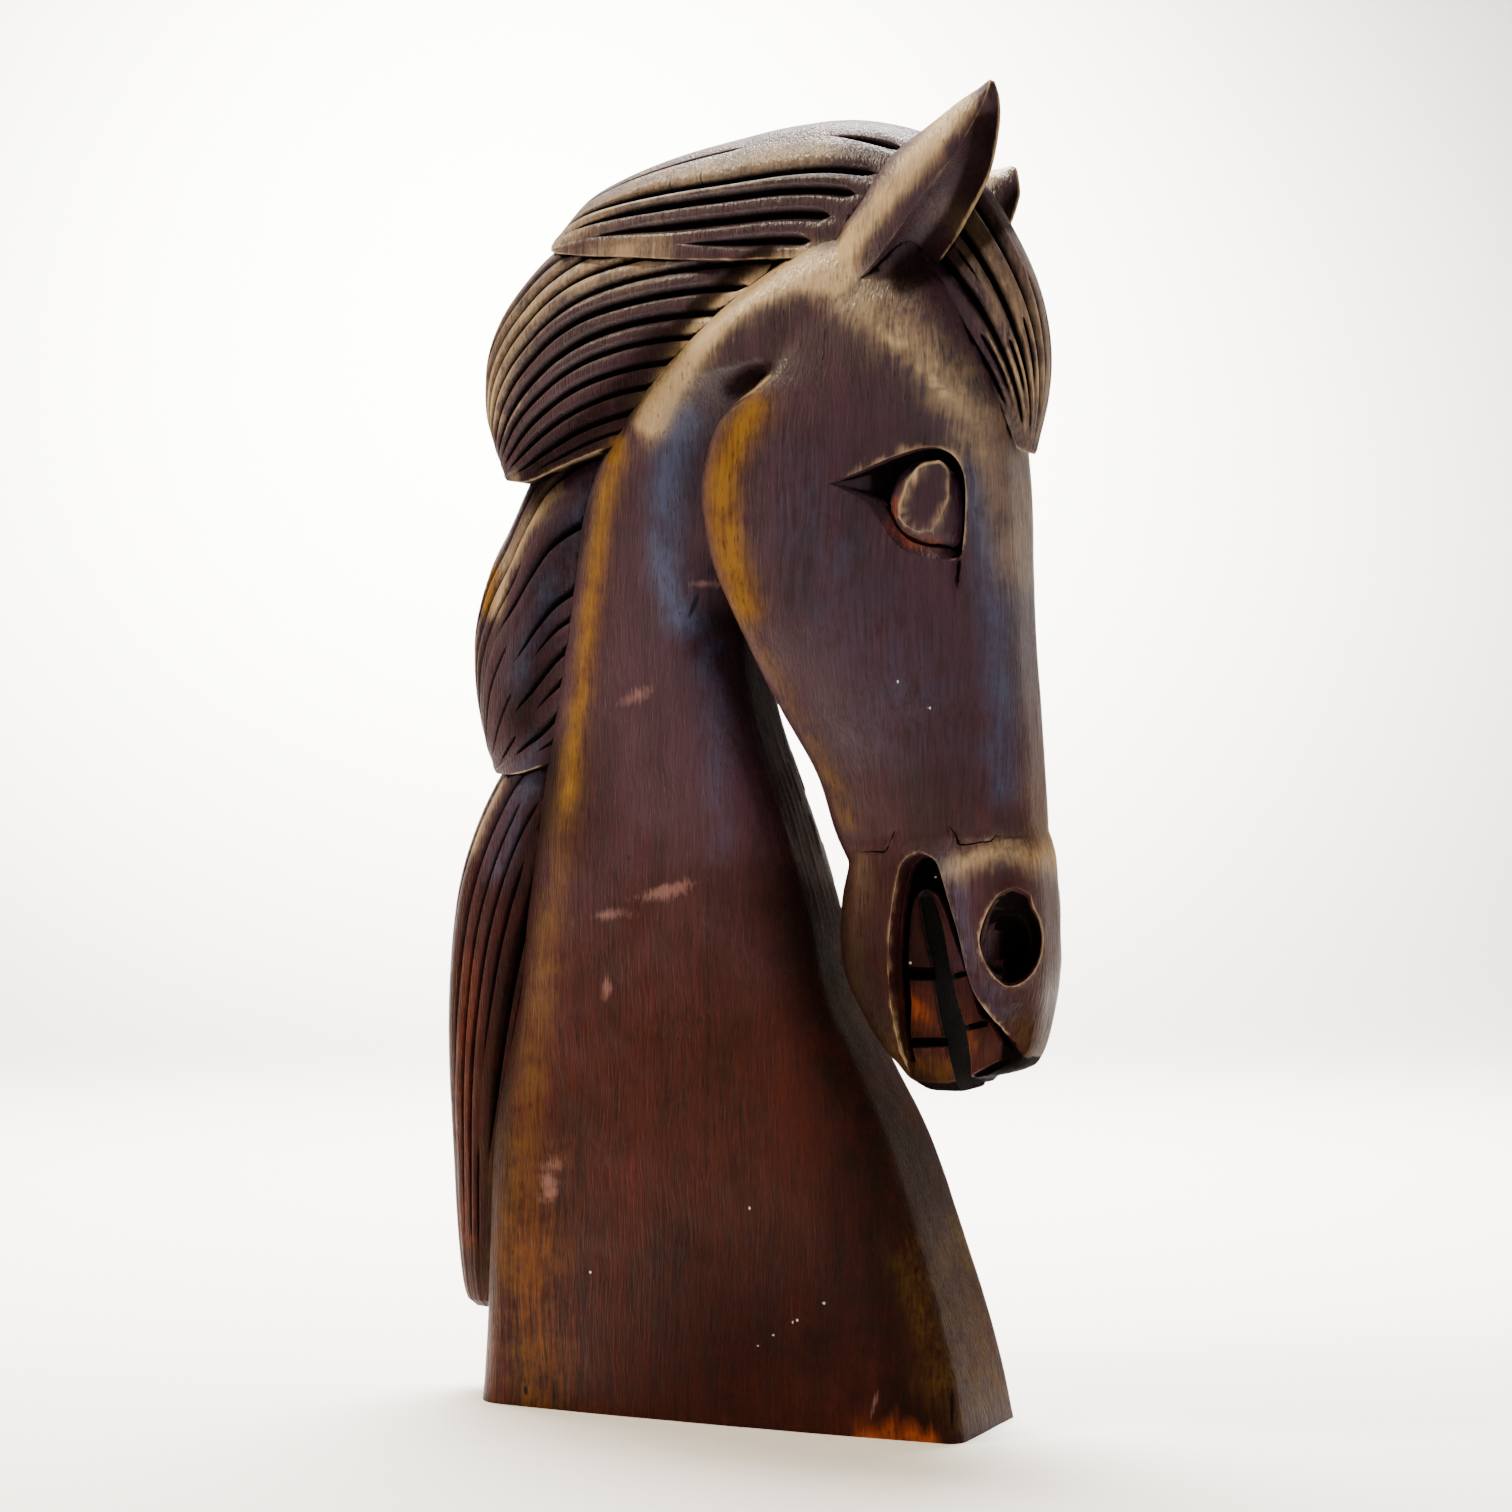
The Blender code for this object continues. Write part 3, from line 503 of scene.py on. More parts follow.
def pocket(name, outline, side, skin, floor, rim):
    """A cutter for a hollow with a flat floor and a worn rim. skin gives how far out the wood is."""
    rings = [[(x, side * floor, z) for x, z in grown(outline, -0.5)]]
    for spread_by, out in POCKET_RIM:
        rings.append([(x, side * (skin(x, z) + out * rim), z) for x, z in grown(outline, spread_by * rim)])
    rings.append([(x, side * HEAD_HALF * CLEAR, z) for x, z in grown(outline, 1.6 * rim)])
    return stack(name, mm(rings))


TEETH_FACE = MUZZLE_HALF * LIP_SKIN - MOUTH_DEPTH


def on_muzzle(x, z):
    return skin_at("muzzle", x, z)


def on_head(x, z):
    return skin_at("head", x, z)


def on_teeth(x, z):
    return TEETH_FACE


CHEEK_RIM = [(30, 300), (16, 335), (2, 362), (-3, 382), (-5, 399), (-2, 416), (4, 429), (13, 438), (22, 445),
             (28.5, 450)]
CHEEK_VALLEY = 8.0       # depth of the valley between the neck and the cheek
VALLEY_WIDTH = 27.0
NOTCH_WIDTH = 7.0        # its width where it runs out in a notch
NOTCH_HEADING = (0.80, 0.60)
BLEND_HEIGHT = 440       # the masses are blended above this height, behind the forelock
BLEND_FRONT = 110


def blend_masses(body):
    """Rubs away the steps between neck, head and ear roots, above the notch behind the cheek."""
    places = corners(body)
    x, z = places[:, 0] / MM, places[:, 2] / MM
    above = smooth_step((z - BLEND_HEIGHT - 0.12 * np.abs(x - 40)) / 12)
    amount = above * smooth_step((BLEND_FRONT - x) / 20)
    group = body.vertex_groups.new(name="blend")
    for index in np.flatnonzero(amount > 0.01):
        group.add([int(index)], float(amount[index]), "REPLACE")
    soften = body.modifiers.new("blend", "SMOOTH")
    soften.factor = 0.8
    soften.iterations = 60
    soften.vertex_group = "blend"
    finish_modifiers(body)
    body.vertex_groups.clear()


def hollow_the_neck(body):
    """Gouges the valley that runs round the back of the cheek and ends in a notch."""
    places = corners(body)
    profile = places[:, [0, 2]]
    gap, along = near_line(profile, CHEEK_RIM)
    line = mm(curve_through(CHEEK_RIM, 120))
    nearest = np.argmin((profile[:, 0:1] - line[:, 0]) ** 2 + (profile[:, 1:2] - line[:, 1]) ** 2, axis=1)
    run = np.gradient(line, axis=0)[nearest]
    away = profile - line[nearest]
    on_neck = run[:, 0] * away[:, 1] - run[:, 1] * away[:, 0] > 0
    to_end = ((CHEEK_RIM[-1][0] - profile[:, 0] / MM) * NOTCH_HEADING[0]
              + (CHEEK_RIM[-1][1] - profile[:, 1] / MM) * NOTCH_HEADING[1])
    width = NOTCH_WIDTH + (VALLEY_WIDTH - NOTCH_WIDTH) * smooth_step((to_end - 3) / 36)
    neck_side = 0.5 + 0.5 * np.cos(math.pi * np.clip((gap / MM - 1.5) / width, 0, 1))
    cheek_side = smooth_step(1 - gap / mm(1.4))
    deep = smooth_step(along * 3.2) * (0.35 + 0.65 * smooth_step(along * 1.5)) * smooth_step(to_end / 9)
    flank = smooth_step(np.abs(places[:, 1]) / mm(18))
    places[:, 1] -= (np.sign(places[:, 1]) * mm(CHEEK_VALLEY) * np.where(on_neck, neck_side, cheek_side)
                     * deep * flank)
    move_corners(body, places)


def fused(name, masses):
    """One skin over the overlapping masses."""
    body = join(masses)
    body.name = name
    skin = body.modifiers.new("skin", "REMESH")
    skin.mode = "VOXEL"
    skin.voxel_size = float(mm(SKIN_CELL))
    soften = body.modifiers.new("soften", "SMOOTH")
    soften.factor = 0.5
    soften.iterations = 6
    finish_modifiers(body)
    return body


CHISEL_FRONT = 48        # the gouge marks down the front of the neck lie behind this, about this height
CHISEL_HEIGHT = 256
CHISEL_WIDE = 5.0        # one gouge mark, across and up
CHISEL_TALL = 17.0
CHISEL_DEEP = 0.9
NOSE_HOLLOW = [(110, 350), (112, 320), (113, 290), (116, 268)]
STEP_LINES = [[(60, 244.6), (74.2, 244.9), (79.2, 245.0), (80.7, 248.8), (83.7, 255.4)],
              [(106.5, 256.1), (110.6, 250.8), (111.9, 248.1), (116.4, 248.6), (124.5, 250.0), (125.2, 251.9),
               (128.0, 251.1), (132.0, 251.0), (138.5, 250.9)]]
TEAR_DEPTH = 2.4         # depths of the creases, and heights of the ridges beside them
TEAR_RIDGE = 0.9
NOSE_DEPTH = 0.9
NOSTRIL_RIDGE = 0.9
LIP_RIDGE = 0.5
STEP_HEIGHT = 0.5        # half the step between the head and the muzzle
WAVES = ((0.34, 24, 0.0), (0.13, 7, 9.0))    # height, size and seed of the surface's waves


def wave(place, size, seed):
    """Slow random waves of the surface, longer along the grain."""
    x, y, z = place
    return noise.noise(Vector((x / mm(size) + seed, y / mm(size), z / mm(size * 2.5))))


def carve_relief(body):
    """The small forms that a gouge leaves: creases, rims, steps and the waves of a hand-worked surface."""
    places = corners(body)
    faces = facings(body)
    profile = places[:, [0, 2]]
    flank = smooth_step((np.abs(faces[:, 1]) - 0.25) * 2.5)
    sunk = np.zeros(len(places))

    near, along = closeness(profile, TEAR_LINE, 1.4)
    sunk += flank * TEAR_DEPTH * near * (1 - smooth_step(along * 1.1 - 0.1))
    near, along = closeness(profile, [(x - 6, z) for x, z in TEAR_LINE], 3.4)
    sunk -= flank * TEAR_RIDGE * near * smooth_step(along * 4) * (1 - smooth_step(along))
    near, along = closeness(profile, NOSE_HOLLOW, 6)
    sunk += flank * NOSE_DEPTH * near * np.sin(math.pi * along)
    near = closeness(profile, NOSTRIL + NOSTRIL[:1], 2.4)[0]
    sunk -= NOSTRIL_RIDGE * near * (0.35 + 0.65 * flank)
    near = closeness(profile, MOUTH_RIM[:11], 2.4)[0]
    sunk -= flank * LIP_RIDGE * near
    for line in STEP_LINES:
        near, along = closeness(profile, line, 4)
        ends = smooth_step(along * 6) * smooth_step((1 - along) * 6)
        below = profile[:, 1] < mm(np.interp(profile[:, 0] / MM, [p[0] for p in line], [p[1] for p in line]))
        sunk += flank * ends * np.where(below, -STEP_HEIGHT, STEP_HEIGHT) * near

    front = smooth_step((faces[:, 0] - 0.25) * 2)
    reach = np.exp(-((profile[:, 1] - mm(CHISEL_HEIGHT)) / mm(34)) ** 2) * (profile[:, 0] < mm(CHISEL_FRONT))
    for index in np.flatnonzero(front * reach > 0.02):
        x, y, z = places[index]
        strip = math.floor(y / mm(CHISEL_WIDE))
        cell = noise.cell(Vector((strip, math.floor(z / mm(CHISEL_TALL) + 0.37 * strip), 3.0)))
        scallop = abs(math.sin(math.pi * y / mm(CHISEL_WIDE))) * (0.5 + 0.5 * cell)
        sunk[index] += front[index] * reach[index] * CHISEL_DEEP * (1 - scallop)

    for index, place in enumerate(places):
        sunk[index] += sum(height * wave(place, size, seed) for height, size, seed in WAVES)
    move_corners(body, places - faces * mm(sunk)[:, None])


def flatten_underside(body):
    """Cuts the foot off level with the floor."""
    pick(body)
    bpy.ops.object.mode_set(mode="EDIT")
    bpy.ops.mesh.select_all(action="SELECT")
    bpy.ops.mesh.bisect(plane_co=(0, 0, 0), plane_no=(0, 0, -1), use_fill=True, clear_outer=True)
    bpy.ops.object.mode_set(mode="OBJECT")
    return face_outwards(body)


def thin_out(body, faces):
    thin = body.modifiers.new("thin", "DECIMATE")
    thin.ratio = min(1.0, faces / sum(len(face.vertices) - 2 for face in body.data.polygons))
    finish_modifiers(body)


def mouth_hollow(side):
    """The hollow between the lips, down to the teeth."""
    outline = smooth_outline(MOUTH_RIM, OUTLINE_POINTS["mouth"])
    return pocket("mouth hollow", outline, side, on_muzzle, TEETH_FACE, 0.8)


def tooth_channel(side):
    """The deeper channel that runs round the teeth and over them."""
    outline = smooth_outline(CHANNEL, OUTLINE_POINTS["channel"])
    return pocket("tooth channel", outline, side, on_teeth, TEETH_FACE - CHANNEL_DEPTH, 0.5)


def jaw_gap():
    """The gap sawn right through between the jaws, a little wider at the faces of the teeth."""
    outline = smooth_outline(JAW_GAP, OUTLINE_POINTS["jaws"])
    half = ((44, 1.2), (TEETH_FACE + 0.4, 0.7), (TEETH_FACE - 0.3, 0.2), (TEETH_FACE - 1.0, 0.0),
            (TEETH_FACE - 4.0, 0.0))
    rings = []
    for y, grow in [(-out, grow) for out, grow in half] + [(0, 0.0)] + list(reversed(half)):
        rings.append([(x, y, z) for x, z in grown(outline, grow)])
    return stack("jaw gap", mm(rings))


def slot(start, end, tall, side):
    """A cut between two teeth, rounded at its ends."""
    start, end = np.array(start, float), np.array(end, float)
    run = (end - start) / np.linalg.norm(end - start)
    beside = np.array([-run[1], run[0]]) * tall / 2
    outline = []
    for place, turns in ((end, np.linspace(-1.3, 1.3, 7)), (start, np.linspace(1.84, 4.44, 7))):
        outline += [place + run * math.cos(turn) * SLOT_ROUND + beside * math.sin(turn) for turn in turns]
    return pocket("slot", np.array(outline), side, on_teeth, TEETH_FACE - SLOT_DEPTH, 0.5)


# Where the rings of the eye's hollow lie, as shares of the way from its centre to its rim
EYE_SHARES = (0.02, 0.15, 0.3, 0.45, 0.6, 0.72, 0.82, 0.9, 0.955, 0.985, 1.0, 1.012)


def eye_hollow(side):
    """A scoop that is steep under the lid and runs out softly below the eye."""
    outline = smooth_outline([(x, z, 1.0) for x, z in EYE_LID] + [(x, z, 0.10) for x, z in EYE_UNDER],
                             OUTLINE_POINTS["eye"])
    centre = np.array(EYE_CENTRE, float)
    tail = EYE_LID[0][0]
    rings = []
    for share in EYE_SHARES:
        ring = []
        for x, z, steep in outline:
            px, pz = centre + (np.array((x, z)) - centre) * share
            full = EYE_DEPTH * (0.06 + 0.94 * float(smooth_step((px - tail) / EYE_TAIL)))
            wall = min(max(steep, 0.03), 1.0)
            steep_rise = float(smooth_step((1 - share) / EYE_WALL))
            soft_rise = float(smooth_step((1 - share) / EYE_SLOPE))
            rise = wall * steep_rise + (1 - wall) * soft_rise
            out = on_head(px, pz) - full * rise + (0.6 if share > 1 else 0.0)
            ring.append((px, side * out, pz))
        rings.append(mm(ring))
    outer = rings[-1].copy()
    outer[:, 1] = side * mm(HEAD_HALF * 1.25)
    rings.append(outer)
    return pulled_ball("eye hollow", rings)


# Rings of the eyeball: depth below the head's skin, how far it has turned into the facet, and its size
EYEBALL_RINGS = ((14.0, 0, 1.0), (8.6, 0, 1.0), (7.4, 0, 0.985), (5.9, 0, 0.945), (4.4, 0.25, 0.95),
                 (3.1, 0.62, 0.97), (2.3, 1, 1.035), (2.0, 1, 0.99), (2.15, 1, 0.93), (2.3, 1, 0.5))


def eyeball(side):
    """A domed eyeball with a flat facet cut on it, whose edge stands up a little."""
    count = OUTLINE_POINTS["eyeball"]
    ball = smooth_outline(EYEBALL, count)
    facet = smooth_outline(PUPIL, count)
    centre = ball.mean(axis=0)
    turn = np.linspace(0, 2 * math.pi, count, endpoint=False)

    def reach(outline):
        """How far the outline is from the ball's middle, in each direction."""
        spokes = outline - centre
        angles = np.arctan2(spokes[:, 1], spokes[:, 0]) % (2 * math.pi)
        order = np.argsort(angles)
        return np.interp(turn, angles[order], np.linalg.norm(spokes, axis=1)[order], period=2 * math.pi)

    whole, flat = reach(ball), reach(facet)
    rings = []
    for down, own, size in EYEBALL_RINGS:
        radius = ((1 - own) * whole + own * flat) * size
        ring = []
        for angle, length in zip(turn, radius):
            x, z = centre[0] + length * math.cos(angle), centre[1] + length * math.sin(angle)
            ring.append((x, side * (on_head(x, z) - down), z))
        rings.append(mm(ring))
    return pulled_ball("eyeball", rings)


def nostril_pit(name, outline, side, depths):
    """A pit that looks forwards and out, its outline shrinking as it goes in."""
    outline = smooth_outline(outline, OUTLINE_POINTS["nostril"])
    centre = outline.mean(axis=0)
    facing = np.array((0.62, side * 0.77, 0.10))
    rings = []
    for distance, size in depths:
        ring = []
        for place in outline:
            x, z = centre + (place - centre) * size
            ring.append(np.array((x, side * on_muzzle(place[0], place[1]), z)) + facing * distance)
        rings.append(mm(ring))
    return stack(name, rings)


# Rings of the nostril's ledge and of its hole: how far out of the skin, and its size
NOSTRIL_LEDGE = ((-4.5, 0.86), (-3.6, 0.94), (-1.4, 0.985), (-0.6, 1.0), (0.3, 1.03), (1.4, 1.07),
                 (9.0, 1.10))
NOSTRIL_DEEP = ((-15.0, 0.55), (-13.5, 0.76), (-10.0, 0.92), (-5.6, 0.98), (-3.0, 1.0), (2.5, 1.02))


def lip_scoop(side):
    """The facet scooped out of the upper lip's front corner."""
    radius, bite = 45.0, 3.0
    x, z = 134.5, 172.0
    facing = np.array((0.66, side * 0.68, -0.32))
    facing /= np.linalg.norm(facing)
    place = np.array((x, side * on_muzzle(x, z), z)) + facing * (radius - bite)
    bpy.ops.object.select_all(action="DESELECT")
    bpy.ops.mesh.primitive_uv_sphere_add(segments=96, ring_count=64, radius=float(mm(radius)),
                                         location=mm(place))
    piece = bpy.context.object
    bpy.ops.object.transform_apply(location=True, rotation=True, scale=True)
    return piece


CRACK_STEPS = 26
# Cracks: the skin that they are in, their line, width and depth
CRACKS = [
    (on_muzzle, [(64.5, 244.6), (74.2, 244.9), (79.2, 245.0), (80.7, 248.8), (83.7, 255.4),
                 (85.5, 257)], 1.3, 1.6),
    (on_muzzle, [(106.5, 256.1), (110.6, 250.8), (111.9, 248.1), (116.4, 248.6), (124.5, 250.0),
                 (126.2, 251.9), (131, 251.3)], 1.5, 1.8),
    (on_head, [(33.5, 486), (34, 470), (33.6, 452)], 0.8, 1.0),
    (on_head, [(54.5, 480), (55, 462), (54.4, 447), (55, 433)], 0.8, 1.0),
]


def crack(skin, line, width, depth, side):
    """A thin check in the wood that runs along a line of the profile and tapers at both ends."""
    path = curve_through(line, CRACK_STEPS)
    rings = []
    for index, (x, z) in enumerate(path):
        share = index / (len(path) - 1)
        open_by = max(0.12, math.sin(math.pi * share) ** 0.5)
        run = path[min(index + 1, len(path) - 1)] - path[max(index - 1, 0)]
        run /= np.linalg.norm(run)
        wander = 0.5 * noise.noise(Vector((x * 0.35, side * 5.0, z * 0.35)))
        beside = np.array([-run[1], run[0]])
        ring = []
        for across, out in ((width / 2, 1.2), (0, 1.6), (-width / 2, 1.2), (0, -depth)):
            px, pz = np.array((x, z)) + beside * (across * open_by + wander)
            ring.append((px, side * (skin(x, z) + (out if out > 0 else out * open_by)), pz))
        rings.append(mm(ring))
    return pulled_ball("check", rings)


def use(body, tool, operation):
    step = body.modifiers.new(operation.lower(), "BOOLEAN")
    step.operation = operation
    step.object = tool
    finish_modifiers(body)
    bpy.data.objects.remove(tool)


def cut_away(body, cutters):
    """Takes the cutters, which don't touch each other, out of the wood."""
    use(body, join(cutters), "DIFFERENCE")


def add_on(body, pieces):
    """Makes pieces that don't touch each other one with the wood."""
    use(body, join(pieces), "UNION")


def ear_section(half, thick):
    """A round back from the rim round to the front edge, then a hollow that scoops back to the rim."""
    back_points = round(EAR_POINTS * EAR_BACK)
    deepest = min(EAR_HOLLOW, EAR_HOLLOW_SHARE * half)
    ring = []
    for k in range(back_points):
        angle = math.radians(EAR_RIM + (360 + EAR_FRONT - EAR_RIM) * k / (back_points - 1))
        ring.append((half * math.cos(angle), thick * math.sin(angle)))
    front, rim = np.array(ring[-1]), np.array(ring[0])
    chord = rim - front
    inward = np.array([-chord[1], chord[0]]) / max(np.linalg.norm(chord), 1e-6)
    hollow_points = EAR_POINTS - back_points
    for k in range(1, hollow_points + 1):
        t = k / (hollow_points + 1)
        sag = (4 * t * (1 - t)) ** 0.85 * deepest
        ring.append(tuple(front + chord * t + inward * sag))
    ring = np.array(ring)
    return 0.5 * ring + 0.25 * np.roll(ring, 1, axis=0) + 0.25 * np.roll(ring, -1, axis=0)


def ear(side, share):
    """An ear that leans forward, scooped out towards the front and the side."""
    rows = curve_through(EAR, EAR_RINGS)
    root = rows[0, :2].copy()
    rows[:, :2] = root + (rows[:, :2] - root) * share
    rows[:, 2] *= share ** 0.5
    if share < 1:
        rows = rows[rows[:, 2] > 5.0]
        blunt = np.sqrt(np.clip(np.linspace(len(rows), 0.3, len(rows)) / BLUNT_RINGS, 0, 1))
        rows[:, 2] *= blunt
        rows[:, 3] *= blunt
    rings = []
    last = len(rows) - 1
    for index, (x, z, half, thick, out) in enumerate(rows):
        heading = rows[min(index + 1, last), :2] - rows[max(index - 1, 0), :2]
        heading = heading / np.linalg.norm(heading)
        ring = []
        for forward, across in ear_section(half, thick * EAR_THICKNESS / 2):
            y = side * (out * HEAD_HALF + across)
            ring.append((x + forward * heading[1], y, z - forward * heading[0]))
        rings.append(mm(ring))
    return pulled_ball("ear", rings)


def through_three(first, middle, last, share):
    """A quadratic through a root, a middle and a tip value."""
    return (first * (1 - share) * (1 - 2 * share) + 4 * middle * share * (1 - share)
            + last * share * (2 * share - 1))


def cut_strength(stretches, share):
    """How wide and deep a groove is at a place along the lock: it starts bluntly and runs out in a taper."""
    width = depth = 0.0
    for begin, end, full_width, full_depth in stretches:
        rise = float(smooth_step((share * 100 - begin) / BLUNT))
        fall = float(smooth_step((end - share * 100) / min(TAPER, (end - begin) * 0.7)))
        strength = rise * fall
        if full_depth * strength > depth:
            width, depth = full_width * strength ** 0.6, full_depth * strength
    return width, depth


def lock_surface(shape):
    """The smooth skin of one side of a lock: rings from root to tip, each at even distances crest to edge."""
    crest = curve_through(shape["crest"], LOCK_STEPS)
    edge = curve_through(shape["edge"], LOCK_STEPS)
    turn = np.linspace(0, math.pi / 2, 90)
    out = np.sin(turn) ** (2 / LOCK_ROUND)
    down = 1 - np.clip(np.cos(turn), 0, 1) ** (2 / LOCK_ROUND)
    rings, lengths = [], []
    for step in range(LOCK_STEPS):
        wide = MANE_HALF * through_three(*shape["wide"], step / (LOCK_STEPS - 1))
        line = np.column_stack([crest[step, 0] + (edge[step, 0] - crest[step, 0]) * down, -wide * out,
                                crest[step, 1] + (edge[step, 1] - crest[step, 1]) * down])
        run = run_along(line)
        rings.append(spaced(line, run, LOCK_COLUMNS))
        lengths.append(run[-1])
    surface = np.array(rings)
    facing = np.cross(np.gradient(surface, axis=0), np.gradient(surface, axis=1))
    facing /= np.maximum(np.linalg.norm(facing, axis=2, keepdims=True), 1e-9)
    if facing[LOCK_STEPS // 2, LOCK_COLUMNS // 2, 1] > 0:
        facing = -facing
    return surface, facing, lengths


def strand_columns(shape, step, length, seed):
    """Where the columns of points lie across a lock at one ring, 0 to 1, and how far each is raised."""
    share = step / (LOCK_STEPS - 1)
    grooves = []
    for number, (root, middle, tip, stretches) in enumerate(shape["grooves"]):
        width, depth = cut_strength(stretches, share)
        sway = 0.45 * noise.noise(Vector((share * 5.0, number * 3.7 + seed, 0.5)))
        grooves.append((through_three(root, middle, tip, share) / 100 + sway / length, width, depth))
    marks = [0.0] + [centre for centre, width, depth in grooves] + [1.0]
    columns = [(0.0, 0.0)]
    start = 0.0
    for number, (centre, width, depth) in enumerate(grooves):
        room = min(centre - marks[number], marks[number + 2] - centre) * length
        half = min(max(GROOVE_OPEN * width, 0.10), GROOVE_ROOM * room)
        depth = min(GROOVE_DEEP * depth, half * GROOVE_STEEP)
        lip = min(0.55, 0.3 * half + 0.1, 0.08 * room)
        near, far = centre - half / length, centre + half / length
        columns += strand_back(start, near - lip / length, length, number, seed)
        columns += [(near - lip / length, 0.0), (near, -LIP_DROP * depth), (centre, -depth),
                    (far, -LIP_DROP * depth), (far + lip / length, 0.0)]
        start = far + lip / length
    columns += strand_back(start, 1.0, length, len(grooves), seed)
    columns.append((1.0, 0.0))
    return np.array(columns)


def strand_back(start, end, length, number, seed):
    """The inner columns of one strand, which stand a little proud of its lips."""
    crown = STRAND_CROWN * min(1.0, (end - start) * length / STRAND_FULL)
    crown += STRAND_VARIES * math.sin(number * 2.4 + seed)
    inner = []
    for k in range(1, STRAND_INNER + 1):
        f = k / (STRAND_INNER + 1)
        inner.append((start + (end - start) * f, max(0.05, crown) * 4 * f * (1 - f)))
    return inner


def lock(name, seed):
    """A lock of hair: strands parted by gouged grooves, wrapped over the crest and run to a tip."""
    shape = LOCKS[name]
    surface, facing, lengths = lock_surface(shape)
    spots = np.linspace(0, 1, LOCK_COLUMNS)
    rings = []
    for step in range(LOCK_STEPS):
        columns = strand_columns(shape, step, lengths[step], seed)
        place, out = (np.column_stack([np.interp(columns[:, 0], spots, axis) for axis in known[step].T])
                      for known in (surface, facing))
        out[0, 1] = 0.0
        out /= np.maximum(np.linalg.norm(out, axis=1, keepdims=True), 1e-9)
        side = place + out * columns[:, 1:2]
        side[0, 1] = 0.0
        far = side[1:] * np.array([1, -1, 1])
        rings.append(mm(np.concatenate([side[::-1], far])))
    tip = rings[-1].mean(axis=0)
    rings[-1] = tip + (rings[-1] - tip) * TIP_SHRINK
    return pulled_ball(name, rings)


# The swelling under an ear: its two ends, half its length and breadth, and its rings (how far up it lies,
# and its size)
ROOT_LOW = (58, 15.0, 478)
ROOT_HIGH = (88, 25.0, 508)
ROOT_LONG = 21
ROOT_WIDE = 13
ROOT_RINGS = ((0.0, 0.5), (0.12, 0.9), (0.3, 1.0), (0.5, 0.97), (0.7, 0.85), (0.85, 0.62), (1.0, 0.3))


def ear_root(side):
    """The soft swelling that the ear grows out of."""
    rings = []
    for share, size in ROOT_RINGS:
        centre = (np.array(ROOT_LOW) * (1 - share) + np.array(ROOT_HIGH) * share) * (1, side, 1)
        ring = []
        for turn in np.linspace(0, 2 * math.pi, 32, endpoint=False):
            forward, out = math.cos(turn) * ROOT_LONG, math.sin(turn) * ROOT_WIDE
            spoke = np.array((0.70 * forward, side * out, -0.71 * forward))
            ring.append(centre + spoke * size)
        rings.append(mm(ring))
    return pulled_ball("ear root", rings)


def both(make, *what):
    """The same thing made on the near side and on the far side."""
    return [make(*what, side) for side in (-1, 1)]


def nostril_ledge(side):
    return nostril_pit("nostril", NOSTRIL, side, NOSTRIL_LEDGE)


def nostril_hole(side):
    return nostril_pit("nostril hole", NOSTRIL_HOLE, side, NOSTRIL_DEEP)


def carve_horse():
    body = fused("carved_horse_head", [mass("neck"), mass("head"), mass("muzzle")] + both(ear_root))
    blend_masses(body)
    hollow_the_neck(body)
    carve_relief(body)
    flatten_underside(body)
    thin_out(body, BODY_FACES)
    cut_away(body, both(mouth_hollow) + both(eye_hollow) + both(nostril_ledge))
    cut_away(body, both(tooth_channel) + both(nostril_hole))
    cut_away(body, [jaw_gap()] + both(lip_scoop))
    cut_away(body, [piece for cut in SLOTS for piece in both(slot, *cut)])
    cut_away(body, [piece for line in CRACKS for piece in both(crack, *line)])
    add_on(body, both(eyeball) + [ear(-1, 1.0), ear(1, FAR_EAR_SHARE)])
    add_on(body, [lock("crown", 1.0), lock("middle", 2.0)])
    add_on(body, [lock("upper", 3.0), lock("lower", 4.0), lock("forelock", 5.0)])
    return body


WEAR_CELL = 1.1          # grid that measures how exposed or how deep each place of the skin is
LOOKS = 2                # looks through the carving per cell, each way
STEP_ON = 2e-5           # metres beyond a surface where the next look starts
EDGE_FULL = 0.38         # an edge has less wood round it than this
EDGE_FADE = 0.12
# places deeper in a cut than this are painted black as shade
CUT_FULL = 0.58          # and a cut more than this
CUT_FADE = 0.13
FOOT_CLEAR = 12.0        # height over which the foot's rim isn't rubbed


def spread(grid, cells, passes):
    """Averages a grid over a few cells each way, more than once."""
    for _ in range(passes):
        for axis in range(3):
            pad = [(0, 0)] * 3
            pad[axis] = (cells + 1, cells)
            total = np.cumsum(np.pad(grid, pad), axis=axis, dtype=np.float32)
            size = grid.shape[axis]
            high = np.take(total, np.arange(2 * cells + 1, 2 * cells + 1 + size), axis=axis)
            low = np.take(total, np.arange(0, size), axis=axis)
            grid = (high - low) / (2 * cells + 1)
    return grid


def wood_grid(body, origin, shape, cell):
    """How full of wood each cell is, found by looking through the carving from side to side."""
    tree = BVHTree.FromPolygons(corners(body).tolist(), [tuple(face.vertices) for face in body.data.polygons])
    grid = np.zeros((shape[0], shape[2], shape[1]), np.float32)
    edges = np.arange(shape[1], dtype=np.float32)
    ahead = Vector((0, 1, 0))
    for i in range(LOOKS * shape[0]):
        x = origin[0] + (i + 0.5) * cell / LOOKS
        for k in range(LOOKS * shape[2]):
            z = origin[2] + (k + 0.5) * cell / LOOKS
            y = origin[1]
            entered = None
            while True:
                place, facing = tree.ray_cast((x, y, z), ahead)[:2]
                if place is None:
                    break
                if facing.y < 0 and entered is None:
                    entered = (place.y - origin[1]) / cell
                elif facing.y > 0 and entered is not None:
                    left = (place.y - origin[1]) / cell
                    wood = np.clip(left - edges, 0, 1) - np.clip(entered - edges, 0, 1)
                    grid[i // LOOKS, k // LOOKS] += wood / LOOKS ** 2
                    entered = None
                y = place.y + STEP_ON
    return grid.transpose(0, 2, 1)


